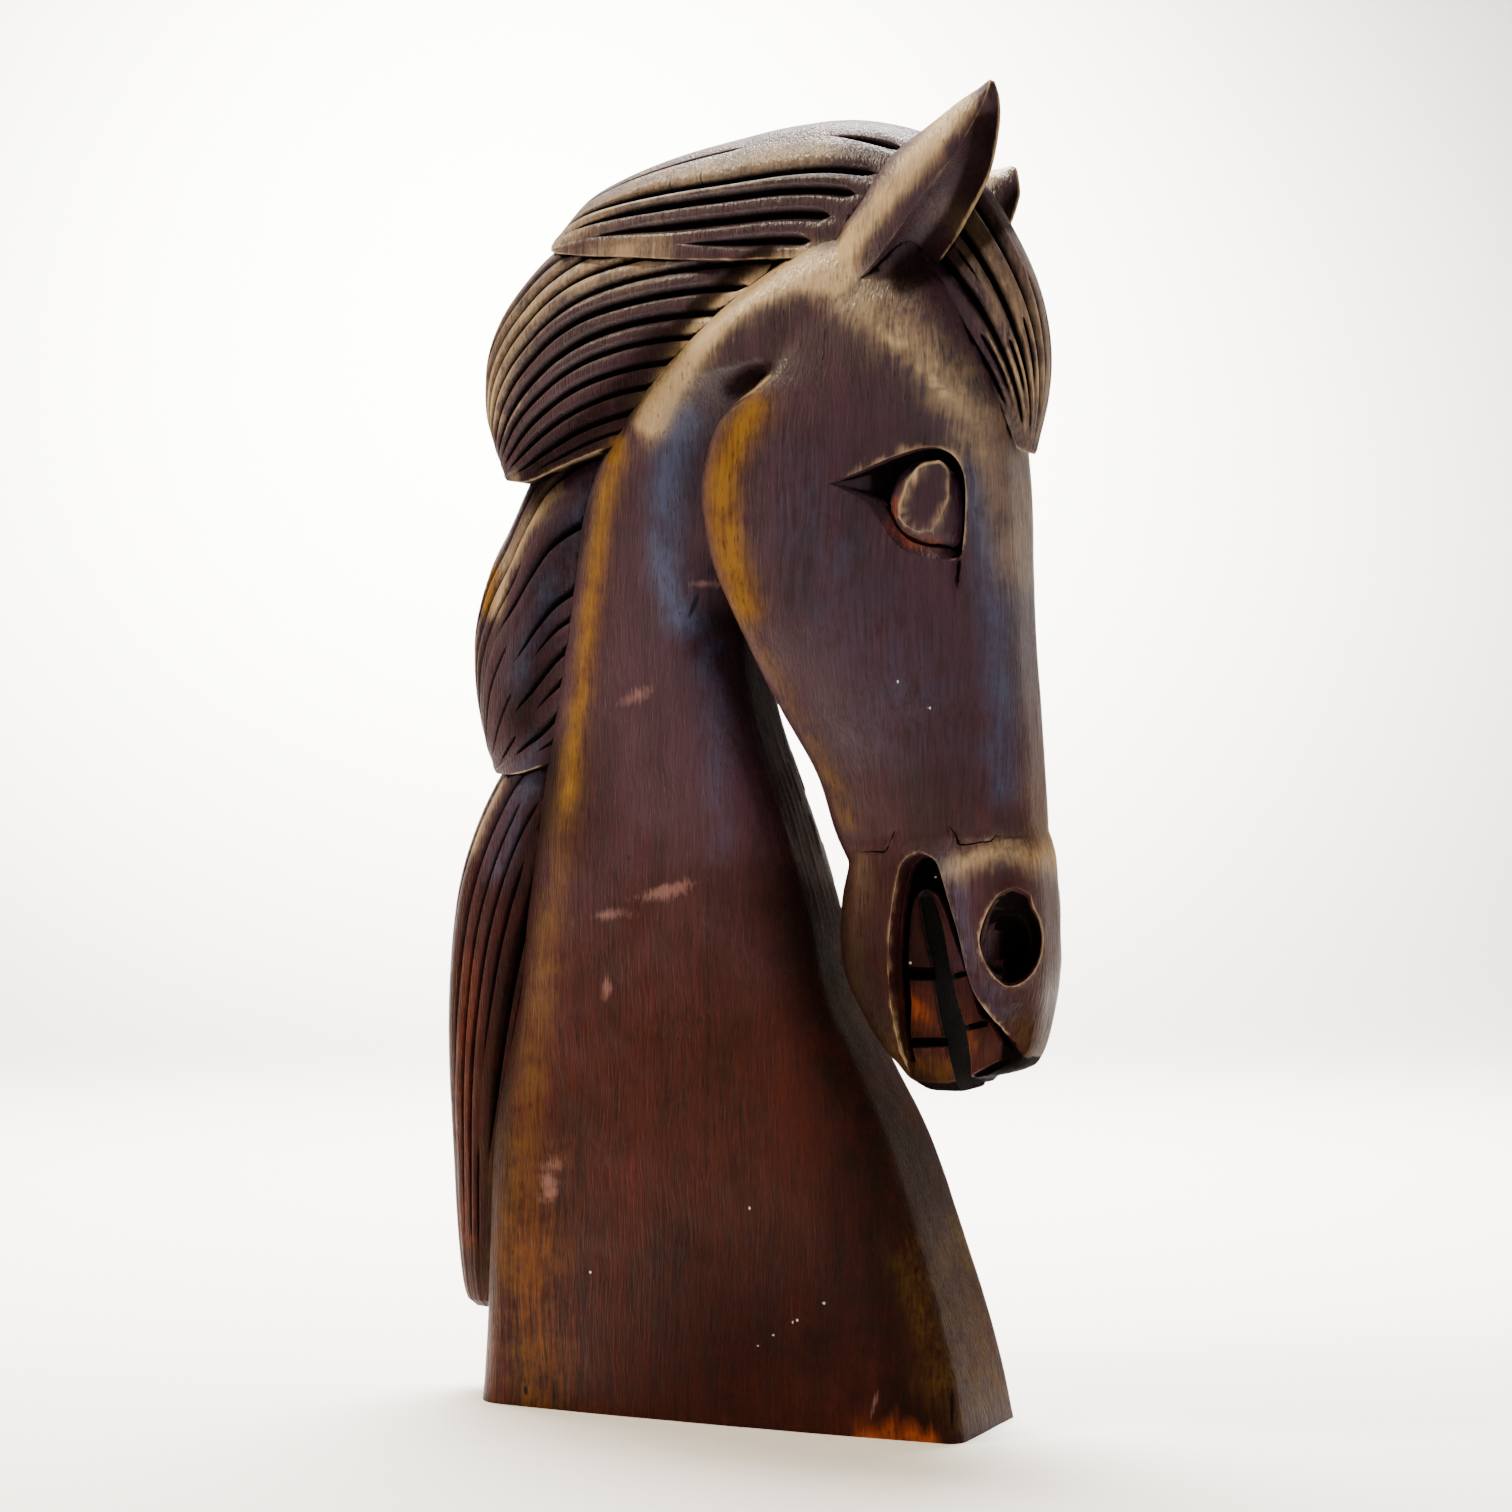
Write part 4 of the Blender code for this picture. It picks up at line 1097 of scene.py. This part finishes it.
def read_grid(grid, places, origin, cell):
    """The grid's value at each place, evenly between the cells."""
    at = (places - origin) / cell - 0.5
    base = np.clip(np.floor(at).astype(int), 0, np.array(grid.shape) - 2)
    part = np.clip(at - base, 0, 1)
    value = np.zeros(len(places))
    for corner in np.ndindex(2, 2, 2):
        weight = np.prod(np.where(corner, part, 1 - part), axis=1)
        value += weight * grid[tuple((base + corner).T)]
    return value


def mark_wear_and_shade(body):
    """Keeps on each point how exposed it is (1 at a worn edge) and how deep it lies (1 in a cut), the depth
    being painted as shade, with the painted shade of the hollows.
    """
    places = corners(body)
    cell = float(mm(WEAR_CELL))
    origin = places.min(axis=0) - 5 * cell
    shape = np.ceil((places.max(axis=0) + 5 * cell - origin) / cell).astype(int)
    full = read_grid(spread(wood_grid(body, origin, shape, cell), 1, 2), places, origin, cell)
    rubbed = smooth_step(places[:, 2] / mm(FOOT_CLEAR)) * ~inside(places[:, [0, 2]] / MM, MOUTH_RIM)
    keep(body, "edge", (EDGE_FULL - full) / EDGE_FADE * rubbed)
    # deep cuts and the deep hollows of mouth, nostrils and eyes, kept to be painted as shade
    keep(body, "cut", np.maximum((full - CUT_FULL) / CUT_FADE, painted_shade(places)))


def keep(body, name, values):
    body.data.attributes.new(name, "FLOAT", "POINT").data.foreach_set("value", np.clip(values, 0, 1))


def inside(profile, outline):
    """Which places of the profile lie within an outline."""
    x, z = profile.T
    within = np.zeros(len(x), bool)
    for (ax, az), (bx, bz) in zip(outline, list(outline[1:]) + [outline[0]]):
        if az != bz:
            within ^= ((az > z) != (bz > z)) & (x < ax + (z - az) / (bz - az) * (bx - ax))
    return within


# Hollows painted dark inside as shade: outline, skin, and how deep below it the painted shade begins and is
# full
SHADED_HOLLOWS = ((MOUTH_RIM, on_teeth, 0.6, 3.0), (NOSTRIL, on_muzzle, 2.0, 5.0),
                (EYE_LID + EYE_UNDER, on_head, 5.2, 8.6))


def painted_shade(places):
    """Painted shade in the mouth, the nostrils and the corners of the eyes, darker the deeper they lie below
    the skin.
    """
    drawn = places / MM
    dark = np.zeros(len(places))
    for outline, skin, near, deep in SHADED_HOLLOWS:
        for index in np.flatnonzero(inside(drawn[:, [0, 2]], outline)):
            x, y, z = drawn[index]
            dark[index] = smooth_step((skin(x, z) - abs(y) - near) / (deep - near))
    return dark


# Painted highlights, painted sheen, painted shade, and where the finish differs, as strokes over the profile:
# half width, strength and line
STROKES = {
    # gold: partly wood rubbed through the stain, partly a painted warm highlight on the neck's ridge, the
    # cheek's rim and the nose's edge
    "gold_rub_and_painted_highlight": [
        (8.0, 0.85, [(-46, 420), (-52, 400), (-56, 375), (-59, 348), (-62, 318), (-66, 292), (-68, 266)]),
        (11.0, 0.5, [(-68, 266), (-73, 240), (-79, 209), (-83, 178), (-88, 143), (-92, 100)]),
        (24.0, 0.45, [(-92, 100), (-92, 40), (-86, 4)]),
        (11.0, 1.0, [(24, 432), (16, 420), (11, 405), (10, 388), (13, 368), (20, 348)]),
        (7.0, 0.5, [(15, 348), (30, 322), (42, 300), (54, 276), (62, 258)]),
        (5.0, 1.0, [(-118, 368), (-121, 352)]),
        (10.0, 0.35, [(91, 78), (97, 51), (106, 18)]),
        (6.0, 0.8, [(137, 410), (139, 349), (140, 300), (142, 245)]),
        (7.0, 0.35, [(82, 160), (92, 110), (104, 60), (112, 10)]),
        (8.0, 0.3, [(135, 172), (137, 162), (132, 158)]),
        (6.0, 0.5, [(113, 160), (100, 152), (94, 158)]),
    ],
    # painted cool blue sheen, where a cool light would reflect in the valley, on the nose's side and on the
    # locks
    "painted_cool_sheen": [
        (10.0, 1.0, [(-14, 430), (-22, 408), (-25, 385), (-22, 361), (-14, 342)]),
        (8.0, 0.5, [(-6, 335), (-2, 313), (1, 292), (3, 266), (5, 245)]),
        (8.0, 0.8, [(117, 402), (121, 378), (126, 350), (127, 325), (128, 300), (128, 271)]),
        (30.0, 0.4, [(48, 392), (70, 340), (90, 300)]),
        (14.0, 0.5, [(-66, 400), (-76, 378), (-88, 350), (-100, 322)]),
        (10.0, 0.6, [(-92, 285), (-104, 262), (-112, 235)]),
        (8.0, 0.6, [(106, 240), (113, 222), (117, 200), (127, 182)]),
    ],
    # painted pale highlights, where light falls on the neck's top, the brow, the tops of the locks, the
    # forelock and the rim of the eye's facet
    "tan": [
        (1.6, 1.2, [(79, 465), (90, 454), (99, 445), (108, 435)]),
        (1.3, 1.2, [(12, 436), (22, 440), (29, 446)]),
        (12.0, 0.65, [(66, 480), (78, 470), (90, 460), (102, 448), (112, 434), (119, 418)]),
        (12.0, 0.55, [(112, 505), (126, 482), (135, 455), (140, 425)]),
        (5.0, 0.9, [(-84, 404), (-98, 388), (-110, 368), (-114, 350)]),
        (7.0, 0.5, [(119, 418), (126, 390), (129, 360)]),
        (6.5, 0.7, [(110, 238), (118, 243), (130, 245), (141, 243), (149, 234)]),
        (8.0, 0.3, [(69, 240), (66, 224), (64, 207), (65, 191), (69, 176), (80, 160)]),
        (10.0, 0.55, [(-85, 513), (-69, 522), (-39, 533), (-15, 538), (14, 541), (47, 543)]),
        (12.0, 0.7, [(-118, 440), (-112, 464), (-99, 481), (-82, 494), (-57, 502), (-33, 504)]),
        (4.0, 0.7, [(-104, 408), (-112, 398), (-120, 380)]),
        (4.0, 0.7, [(-114, 274), (-122, 260), (-129, 244)]),
        (7.0, 1.3, [(117, 554), (102, 537), (86, 521), (70, 505), (58, 493)]),
        (9.5, 1.8, [(58, 488), (41, 491), (19, 485), (4, 475), (-9, 462), (-21, 446), (-29, 432)]),
        (0.7, 1.1, PUPIL[:6]),
        (0.7, 0.7, PUPIL[5:]),
    ],
    "raw": [
        (3.0, 0.7, [(85, 392), (85, 380), (92, 374), (102, 374)]),
        (5.5, 1.3, [(90, 181), (94, 170)]),
        (4.0, 0.4, [(107, 182), (113, 160), (92, 158)]),
        (3.6, 1.8, [(72, 1), (88, 2), (102, 0)]),
        (22.0, 0.2, [(-88, 76), (-80, 30), (-70, 6)]),
        (10.0, 0.3, [(-128, 190), (-132, 120), (-130, 70)]),
    ],
    # painted shade: dark under the chin, down the neck's front and far side, round the foot, in the ear's
    # hollow, in the notch and in the mouth
    "painted_shade": [
        (34.0, 1.1, [(46, 220), (66, 157), (82, 100), (98, 20)]),
        (13.0, 1.2, [(-2, 340), (12, 313), (26, 279), (42, 241), (56, 200)]),
        (46.0, 0.8, [(60, 40), (10, 30)]),
        (40.0, 0.45, [(50, 400), (80, 340), (95, 290)]),
        (18.0, 1.2, [(-92, 405), (-72, 418), (-46, 438), (-26, 460)]),
        (4.5, 1.5, [(24, 501), (6, 492), (-10, 480), (-28, 463), (-44, 434), (-50, 415)]),
        (20.0, 1.0, [(-66, 400), (-84, 360), (-96, 300)]),
        (26.0, 1.0, [(-84, 280), (-96, 220), (-108, 150), (-116, 60)]),
        (9.0, 0.7, [(66, 230), (60, 205), (66, 180), (84, 158)]),
        (14.0, 0.6, [(36, 310), (56, 270)]),
        (7.0, 1.2, [(94, 238), (94, 222), (95, 204)]),
        (5.0, 0.8, [(104, 228), (109, 206)]),
        (6.5, 3.0, [(129, 543), (122, 526), (112, 508), (101, 496), (90, 486)]),
        (6.0, 1.6, [(131, 532), (125, 515), (117, 503), (104, 490)]),
        (4.0, 1.6, [(8, 442), (18, 447), (27, 449)]),
        (16.0, 0.8, [(62, 107), (67, 57), (71, 16)]),
        (12.0, 1.5, [(92, 150), (102, 110), (112, 60), (122, 10)]),
        (9.0, 0.9, [(134, 176), (137, 164), (130, 156)]),
        (9.0, 0.8, [(88, 236), (92, 224), (94, 204), (100, 196), (112, 186), (120, 172)]),
    ],
}


def paint_strokes(body):
    profile = corners(body)[:, [0, 2]]
    for name, strokes in STROKES.items():
        painted = np.zeros(len(profile))
        for width, strength, line in strokes:
            painted = np.maximum(painted, strength * closeness(profile, line, width)[0])
        keep(body, name, painted)


def linear(code):
    """An sRGB hex colour as the linear values that shaders use."""
    parts = [int(code[start:start + 2], 16) / 255 for start in (1, 3, 5)]
    turned = [part / 12.92 if part <= 0.04045 else ((part + 0.055) / 1.055) ** 2.4 for part in parts]
    return (*turned, 1.0)


def add(tree, kind, inputs, out=0, **settings):
    """Adds a shader node with its settings, and values or links for its inputs. Gives back one output."""
    made = tree.nodes.new("ShaderNode" + kind)
    for name, value in settings.items():
        setattr(made, name, value)
    for slot_name, value in inputs.items():
        if isinstance(value, bpy.types.NodeSocket):
            tree.links.new(value, made.inputs[slot_name])
        else:
            made.inputs[slot_name].default_value = value
    return made.outputs[out]


def weighed(tree, parts, total=0.0, **settings):
    """Patterns added up, each times its own weight."""
    for pattern, weight in parts:
        total = add(tree, "Math", {0: pattern, 1: weight, 2: total}, operation="MULTIPLY_ADD", **settings)
    return total


def arithmetic(tree, operation, first, second):
    return add(tree, "Math", {0: first, 1: second}, operation=operation)


def ramp(tree, value, start, full, most=1.0, **settings):
    """0 where the value is at the start, and the most where it is full."""
    limits = {"Value": value, "From Min": start, "From Max": full, "To Max": most}
    return add(tree, "MapRange", limits, **settings)


def blend(tree, share, under, over):
    """A share of one colour over another."""
    return add(tree, "Mix", {"Factor": share, "A": under, "B": over}, out="Result", data_type="RGBA")


def oval(tree, place, middle, length, width, turn):
    """Distance from the middle of an oval on the profile: 1 at its rim."""
    at = add(tree, "Mapping", {"Vector": place, "Location": (middle[0], 0, middle[1]),
                               "Scale": (length, ALL_ACROSS, width), "Rotation": (0, -math.radians(turn), 0)},
             vector_type="TEXTURE")
    return add(tree, "VectorMath", {0: at}, out="Value", operation="LENGTH")


# Sizes in the wood and its finish, in millimetres: across the grain, and along it. A real fibre is about
# 0.02 wide and a pore 0.2, too fine to show from here, so both are drawn coarser.
FIBRE = (1.4, 30.0)
FINE_FIBRE = (0.6, 10.0)
PORE = (0.7, 5.0)
GROWTH_BAND = (8.0, 160.0)
STAIN_PATCH = 55.0
RUB_PATCH = 14.0
DENT = 16.0
GRAIN_WANDER = 5.0       # how far the grain strays to the side, over the next length
WANDER_LENGTH = 60.0
RELIEF = 0.001           # metres that a full step of the fine relief stands for
RED_BELOW = 230.0        # the stain is red below this height and plum above the next
PLUM_ABOVE = 420.0
STAIN_SWAY = 170.0       # how far up and down the patches shift that
ALL_ACROSS = 1e6         # the ovals of the marks reach all the way across the carving

STAIN_LOW = "#3c130b"
STAIN_LOW_DARK = "#190c07"
STAIN_HIGH = "#361b28"
STAIN_HIGH_DARK = "#190d13"
# the gold is partly wood rubbed through the stain and partly a painted warm highlight; then a painted cool
# blue sheen, a painted pale highlight and painted dark shade
GOLD_RUB_AND_WARM_HIGHLIGHT = "#7a561a"
PAINTED_COOL_SHEEN = "#3a4059"
PAINTED_HIGHLIGHT_TAN = "#b3966b"
PAINTED_SHADE_DARK = "#110b08"
RAW_WOOD = "#8a3f18"
LIGHT_SHADE_AND_FINISH_TINTS = (("tan", PAINTED_HIGHLIGHT_TAN, 0.78), ("painted_shade", PAINTED_SHADE_DARK, 0.85), ("painted_cool_sheen", PAINTED_COOL_SHEEN, 0.8),
            ("gold_rub_and_painted_highlight", GOLD_RUB_AND_WARM_HIGHLIGHT, 0.7), ("raw", RAW_WOOD, 0.85))
RUBBED_EDGE = "#a58a68"
# painted shade, near black, for the cuts and hollows, also the dark inside the checks
CREVICE_SHADE_BLACK = "#050303"
CHALKY_SCUFF = "#a0746a"
PAINT_SPECK = "#d8d2c8"

# Marks on the photographed side, in the profile: middle, half length, half width, and turn in degrees.
# A speck is a dot of paint about a millimetre from its middle to its rim.
SCUFFS = [((-35, 311), 10, 3.4, 27), ((-51, 216), 13, 3.0, 8), ((-21, 227), 18, 3.2, 15),
          ((-49, 185), 2.6, 7, 0), ((-77, 99), 6, 11, 0), ((-7, 359), 8, 2.0, 0), ((77, 15), 1.0, 6, -12)]
CHECKS = [((-11, 534), 0.5, 9, 2), ((-26.5, 534), 0.45, 4, 0), ((-28, 521), 0.5, 7, 0),
          ((110, 14), 0.7, 9, 4), ((117, 16), 0.6, 7, -3), ((31, 458), 0.4, 32, 1),
          ((-10, 350), 1.2, 7, -15), ((-38, 241), 1.0, 1.6, 0), ((48, 246), 1.8, 1.2, 40),
          ((52, 233), 2.4, 1.0, -40), ((-88, 7), 1.2, 2.6, 10), ((-107, 50), 2.0, 0.9, 20)]
SPECKS = [(20, 93), (-56, 61), (54, 55), (42, 47), (24, 35), (40, 46), (31, 40), (87, 316), (100, 305),
          (96, 234), (87, 198)]


def wood_patterns(tree, place):
    """The wood's fibres, fine fibres, growth bands and pores, along a grain that wanders a little."""
    wander = add(tree, "TexNoise", {"Vector": place, "Scale": 1 / WANDER_LENGTH, "Detail": 2.0}, out="Color")
    wander = add(tree, "VectorMath", {0: wander, 1: (0.5, 0.5, 0.5)}, operation="SUBTRACT")
    wander = add(tree, "VectorMath", {0: wander, "Scale": 2 * GRAIN_WANDER}, operation="SCALE")
    along = add(tree, "VectorMath", {0: place, 1: wander}, operation="ADD")
    layers = []
    for (across, length), detail in ((FIBRE, 2.0), (FINE_FIBRE, 1.0), (GROWTH_BAND, 1.0), (PORE, 0.0)):
        drawn = add(tree, "VectorMath", {0: along, 1: (1 / across, 1 / across, 1 / length)},
                    operation="MULTIPLY")
        layers.append(add(tree, "TexNoise", {"Vector": drawn, "Scale": 1.0, "Detail": detail,
                                             "Roughness": 0.62}))
    return layers


def stained_hardwood():
    """Hardwood stained red-brown and plum and waxed: streaky along the grain, with a soft gloss, golden where
    hands have rubbed it and where a warm highlight is painted, with a painted cool blue sheen, painted pale
    highlights and painted shade, pale on sharp edges, and painted black as shade in the cuts."""
    material = bpy.data.materials.new("stained and waxed hardwood")
    material.use_nodes = True
    tree = material.node_tree
    shader = tree.nodes["Principled BSDF"]
    place = add(tree, "TexCoord", {}, out="Object")
    place = add(tree, "VectorMath", {0: place, "Scale": 1000.0}, operation="SCALE")
    across, height = (add(tree, "SeparateXYZ", {0: place}, out=axis) for axis in "YZ")
    marks = {name: add(tree, "Attribute", {}, out="Fac", attribute_name=name)
             for name in ("edge", "cut", *STROKES)}
    fibre, fine, band, pore = wood_patterns(tree, place)
    patch, rub, dent = (add(tree, "TexNoise", {"Vector": place, "Scale": 1 / size, "Detail": detail,
                                               "Roughness": roughness})
                        for size, detail, roughness in ((STAIN_PATCH, 2.0, 0.6), (RUB_PATCH, 3.0, 0.65),
                                                        (DENT, 1.0, 0.5)))

    # the stain, redder and warmer towards the foot
    up = ramp(tree, weighed(tree, [(patch, STAIN_SWAY)], height), RED_BELOW, PLUM_ABOVE,
              interpolation_type="SMOOTHSTEP")
    pale = blend(tree, up, linear(STAIN_LOW), linear(STAIN_HIGH))
    dark = blend(tree, up, linear(STAIN_LOW_DARK), linear(STAIN_HIGH_DARK))
    streak = weighed(tree, [(fibre, 0.55), (fine, 0.40), (band, 0.40), (patch, 0.55)])
    colour = blend(tree, ramp(tree, streak, 0.68, 1.24), dark, pale)

    # the painted highlights, sheen and shade and the changes of the finish, each broken up by the fibres and
    # by worn patches
    broken = weighed(tree, [(fibre, 1.5), (rub, 1.9)], -1.7)
    for name, tint, most in LIGHT_SHADE_AND_FINISH_TINTS:
        part = arithmetic(tree, "MULTIPLY", arithmetic(tree, "ADD", marks[name], broken), marks[name])
        colour = blend(tree, ramp(tree, part, 0.0, 1.1, most), colour, linear(tint))
    colour = blend(tree, ramp(tree, pore, 0.30, 0.22, 0.6), colour, linear(STAIN_HIGH_DARK))

    # sharp edges are rubbed through to pale wood, and the cuts and hollows are painted near black as shade
    worn = weighed(tree, [(rub, 1.6), (fine, 0.6)], marks["edge"])
    worn = arithmetic(tree, "MULTIPLY", ramp(tree, worn, 1.45, 2.2, 0.75), marks["edge"])
    colour = blend(tree, worn, colour, linear(RUBBED_EDGE))
    crevice_shade = ramp(tree, marks["cut"], 0.05, 0.6, 0.98, interpolation_type="SMOOTHSTEP")
    colour = blend(tree, crevice_shade, colour, linear(CREVICE_SHADE_BLACK))

    # scuffs with ragged rims, short checks and specks of paint, on the photographed side alone
    near_side = arithmetic(tree, "LESS_THAN", across, 0.0)
    specks = [(middle, 1, 1, 0) for middle in SPECKS]
    for spots, tint, most, rim, core, ragged in (
            (SCUFFS, CHALKY_SCUFF, 0.26, -1.5, -2.4, [(rub, -3.4), (fine, -1.6)]),
            (CHECKS, CREVICE_SHADE_BLACK, 0.95, 1.0, 0.6, []),
            (specks, PAINT_SPECK, 0.7, 1.35, 1.0, [(fine, 1.4)])):
        for spot in spots:
            gap = weighed(tree, ragged, oval(tree, place, *spot))
            mark = arithmetic(tree, "MULTIPLY", ramp(tree, gap, rim, core, most), near_side)
            colour = blend(tree, mark, colour, linear(tint))
    tree.links.new(colour, shader.inputs["Base Color"])

    # waxed wood has a soft gloss, more where a highlight is painted, and less where it is worn, where shade
    # is painted, and under the gold
    rough = weighed(tree, [(fine, 0.34), (patch, 0.14), (worn, 0.16), (marks["painted_shade"], 0.15), (crevice_shade, 0.4)],
                    0.12, use_clamp=True)
    tree.links.new(rough, shader.inputs["Roughness"])
    dull = arithmetic(tree, "MAXIMUM", marks["gold_rub_and_painted_highlight"], arithmetic(tree, "MAXIMUM", crevice_shade, marks["painted_shade"]))
    sheen = add(tree, "MapRange", {"Value": up, "To Min": 0.08, "To Max": 0.30})
    sheen = weighed(tree, [(marks["tan"], 0.40)], sheen)
    sheen = add(tree, "MapRange", {"Value": dull, "To Min": sheen, "To Max": 0.02})
    tree.links.new(sheen, shader.inputs["Specular IOR Level"])

    # fibres and small dents, finer than the carving
    relief = weighed(tree, [(fibre, 0.55), (fine, 0.50), (dent, 1.0)])
    relief = add(tree, "Bump", {"Height": relief, "Distance": RELIEF, "Strength": 0.8}, out="Normal")
    tree.links.new(relief, shader.inputs["Normal"])
    return material


FLOOR_FLAT = 1.9         # radius of the floor's flat middle, in metres
FLOOR_TURN_UP = 1.7      # radius of the curve up at its rim
FLOOR_STEPS = 12
FLOOR_WALL = 1.2


def matt_paper():
    """Matt paper: an even pale ground without shine, on which the shadow stays soft."""
    paper = bpy.data.materials.new("matt paper sweep")
    paper.use_nodes = True
    shader = paper.node_tree.nodes["Principled BSDF"]
    shader.inputs["Base Color"].default_value = linear("#eceae6")
    shader.inputs["Roughness"].default_value = 0.95
    shader.inputs["Specular IOR Level"].default_value = 0.2
    return paper


def plain_floor():
    """A pale sweep of paper: a wide disc whose rim turns up all round, out of the way."""
    bpy.ops.object.select_all(action="DESELECT")
    bpy.ops.mesh.primitive_circle_add(vertices=128, radius=1.0, fill_type="NGON")
    floor = bpy.context.object
    floor.name = "floor"
    bpy.ops.object.mode_set(mode="EDIT")
    bpy.ops.mesh.select_all(action="SELECT")
    bpy.ops.transform.resize(value=(FLOOR_FLAT,) * 3)
    bpy.ops.mesh.select_mode(type="EDGE")
    bpy.ops.mesh.region_to_loop()
    radius, height = FLOOR_FLAT, 0.0
    for step in range(1, FLOOR_STEPS + 1):
        turn = math.pi / 2 * step / FLOOR_STEPS
        wider = FLOOR_FLAT + FLOOR_TURN_UP * math.sin(turn)
        higher = FLOOR_TURN_UP * (1 - math.cos(turn))
        bpy.ops.mesh.extrude_edges_move(TRANSFORM_OT_translate={"value": (0, 0, higher - height)})
        bpy.ops.transform.resize(value=(wider / radius, wider / radius, 1.0), center_override=(0, 0, higher))
        radius, height = wider, higher
    bpy.ops.mesh.extrude_edges_move(TRANSFORM_OT_translate={"value": (0, 0, FLOOR_WALL)})
    bpy.ops.object.mode_set(mode="OBJECT")
    bpy.ops.object.shade_smooth()
    floor.data.materials.append(matt_paper())


# Lights: place, target, size, watts, colour, and how wide they spread in degrees. The first four light
# the horse as in the photo, and the last two keep to the floor and the ground behind it.
LIGHTS = {
    "window": ((-0.9, -0.70, 1.7), (0.0, 0.0, 0.42), (0.25, 0.25), 52, "#ffedcc", 180),
    "side": ((-1.35, -0.40, 0.5), (0.0, 0.0, 0.33), (0.15, 1.0), 4.5, "#ffc880", 180),
    "room": ((0.8, -1.45, 0.5), (0.05, 0.0, 0.32), (0.25, 0.8), 2.0, "#bccaff", 180),
    "rim": ((1.0, 0.35, 0.5), (0.08, 0.0, 0.35), (0.15, 0.8), 0.6, "#ffb870", 180),
    "ceiling": ((-0.35, 0.8, 2.2), (-0.35, 0.8, 0.0), (1.2, 1.2), 130, "#fffaf4", 85),
    "backdrop": ((-1.2, 1.8, 2.5), (-1.7, 3.2, 0.2), (1.0, 1.0), 190, "#fffdfa", 80),
}


def area_light(name, place, target, size, watts, colour, degrees):
    bpy.ops.object.light_add(type="AREA", location=place)
    light = bpy.context.object
    light.name = name
    light.rotation_euler = (Vector(target) - Vector(place)).to_track_quat("-Z", "Y").to_euler()
    light.data.shape = "RECTANGLE"
    light.data.size, light.data.size_y = size
    light.data.energy = watts
    light.data.spread = math.radians(degrees)
    light.data.color = linear(colour)[:3]


CAMERA_TURN = math.radians(24.5)
CAMERA_DISTANCE = 1.466
CAMERA_AIM = (0.006, 0.0, 0.285)
CAMERA_LENS = 80
CAMERA_SENSOR = 36


def photo_camera():
    """A level camera at the photo's angle."""
    place = (CAMERA_AIM[0] + CAMERA_DISTANCE * math.sin(CAMERA_TURN),
             CAMERA_AIM[1] - CAMERA_DISTANCE * math.cos(CAMERA_TURN), CAMERA_AIM[2])
    bpy.ops.object.camera_add(location=place, rotation=(math.pi / 2, 0, CAMERA_TURN))
    camera = bpy.context.object
    camera.data.lens = CAMERA_LENS
    camera.data.sensor_width = CAMERA_SENSOR
    bpy.context.scene.camera = camera


def soft_world():
    world = bpy.data.worlds.new("soft room light")
    world.use_nodes = True
    background = world.node_tree.nodes["Background"]
    background.inputs["Color"].default_value = linear("#f4f4f6")
    background.inputs["Strength"].default_value = 0.06
    bpy.context.scene.world = world


horse = carve_horse()
mark_wear_and_shade(horse)
paint_strokes(horse)
pick(horse)
bpy.ops.object.shade_smooth_by_angle(angle=math.radians(SHARP_ANGLE))
horse.data.materials.clear()
horse.data.materials.append(stained_hardwood())
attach(horse, "root")
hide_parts("horse_head")

plain_floor()
for light_name, settings in LIGHTS.items():
    area_light(light_name, *settings)
soft_world()
photo_camera()
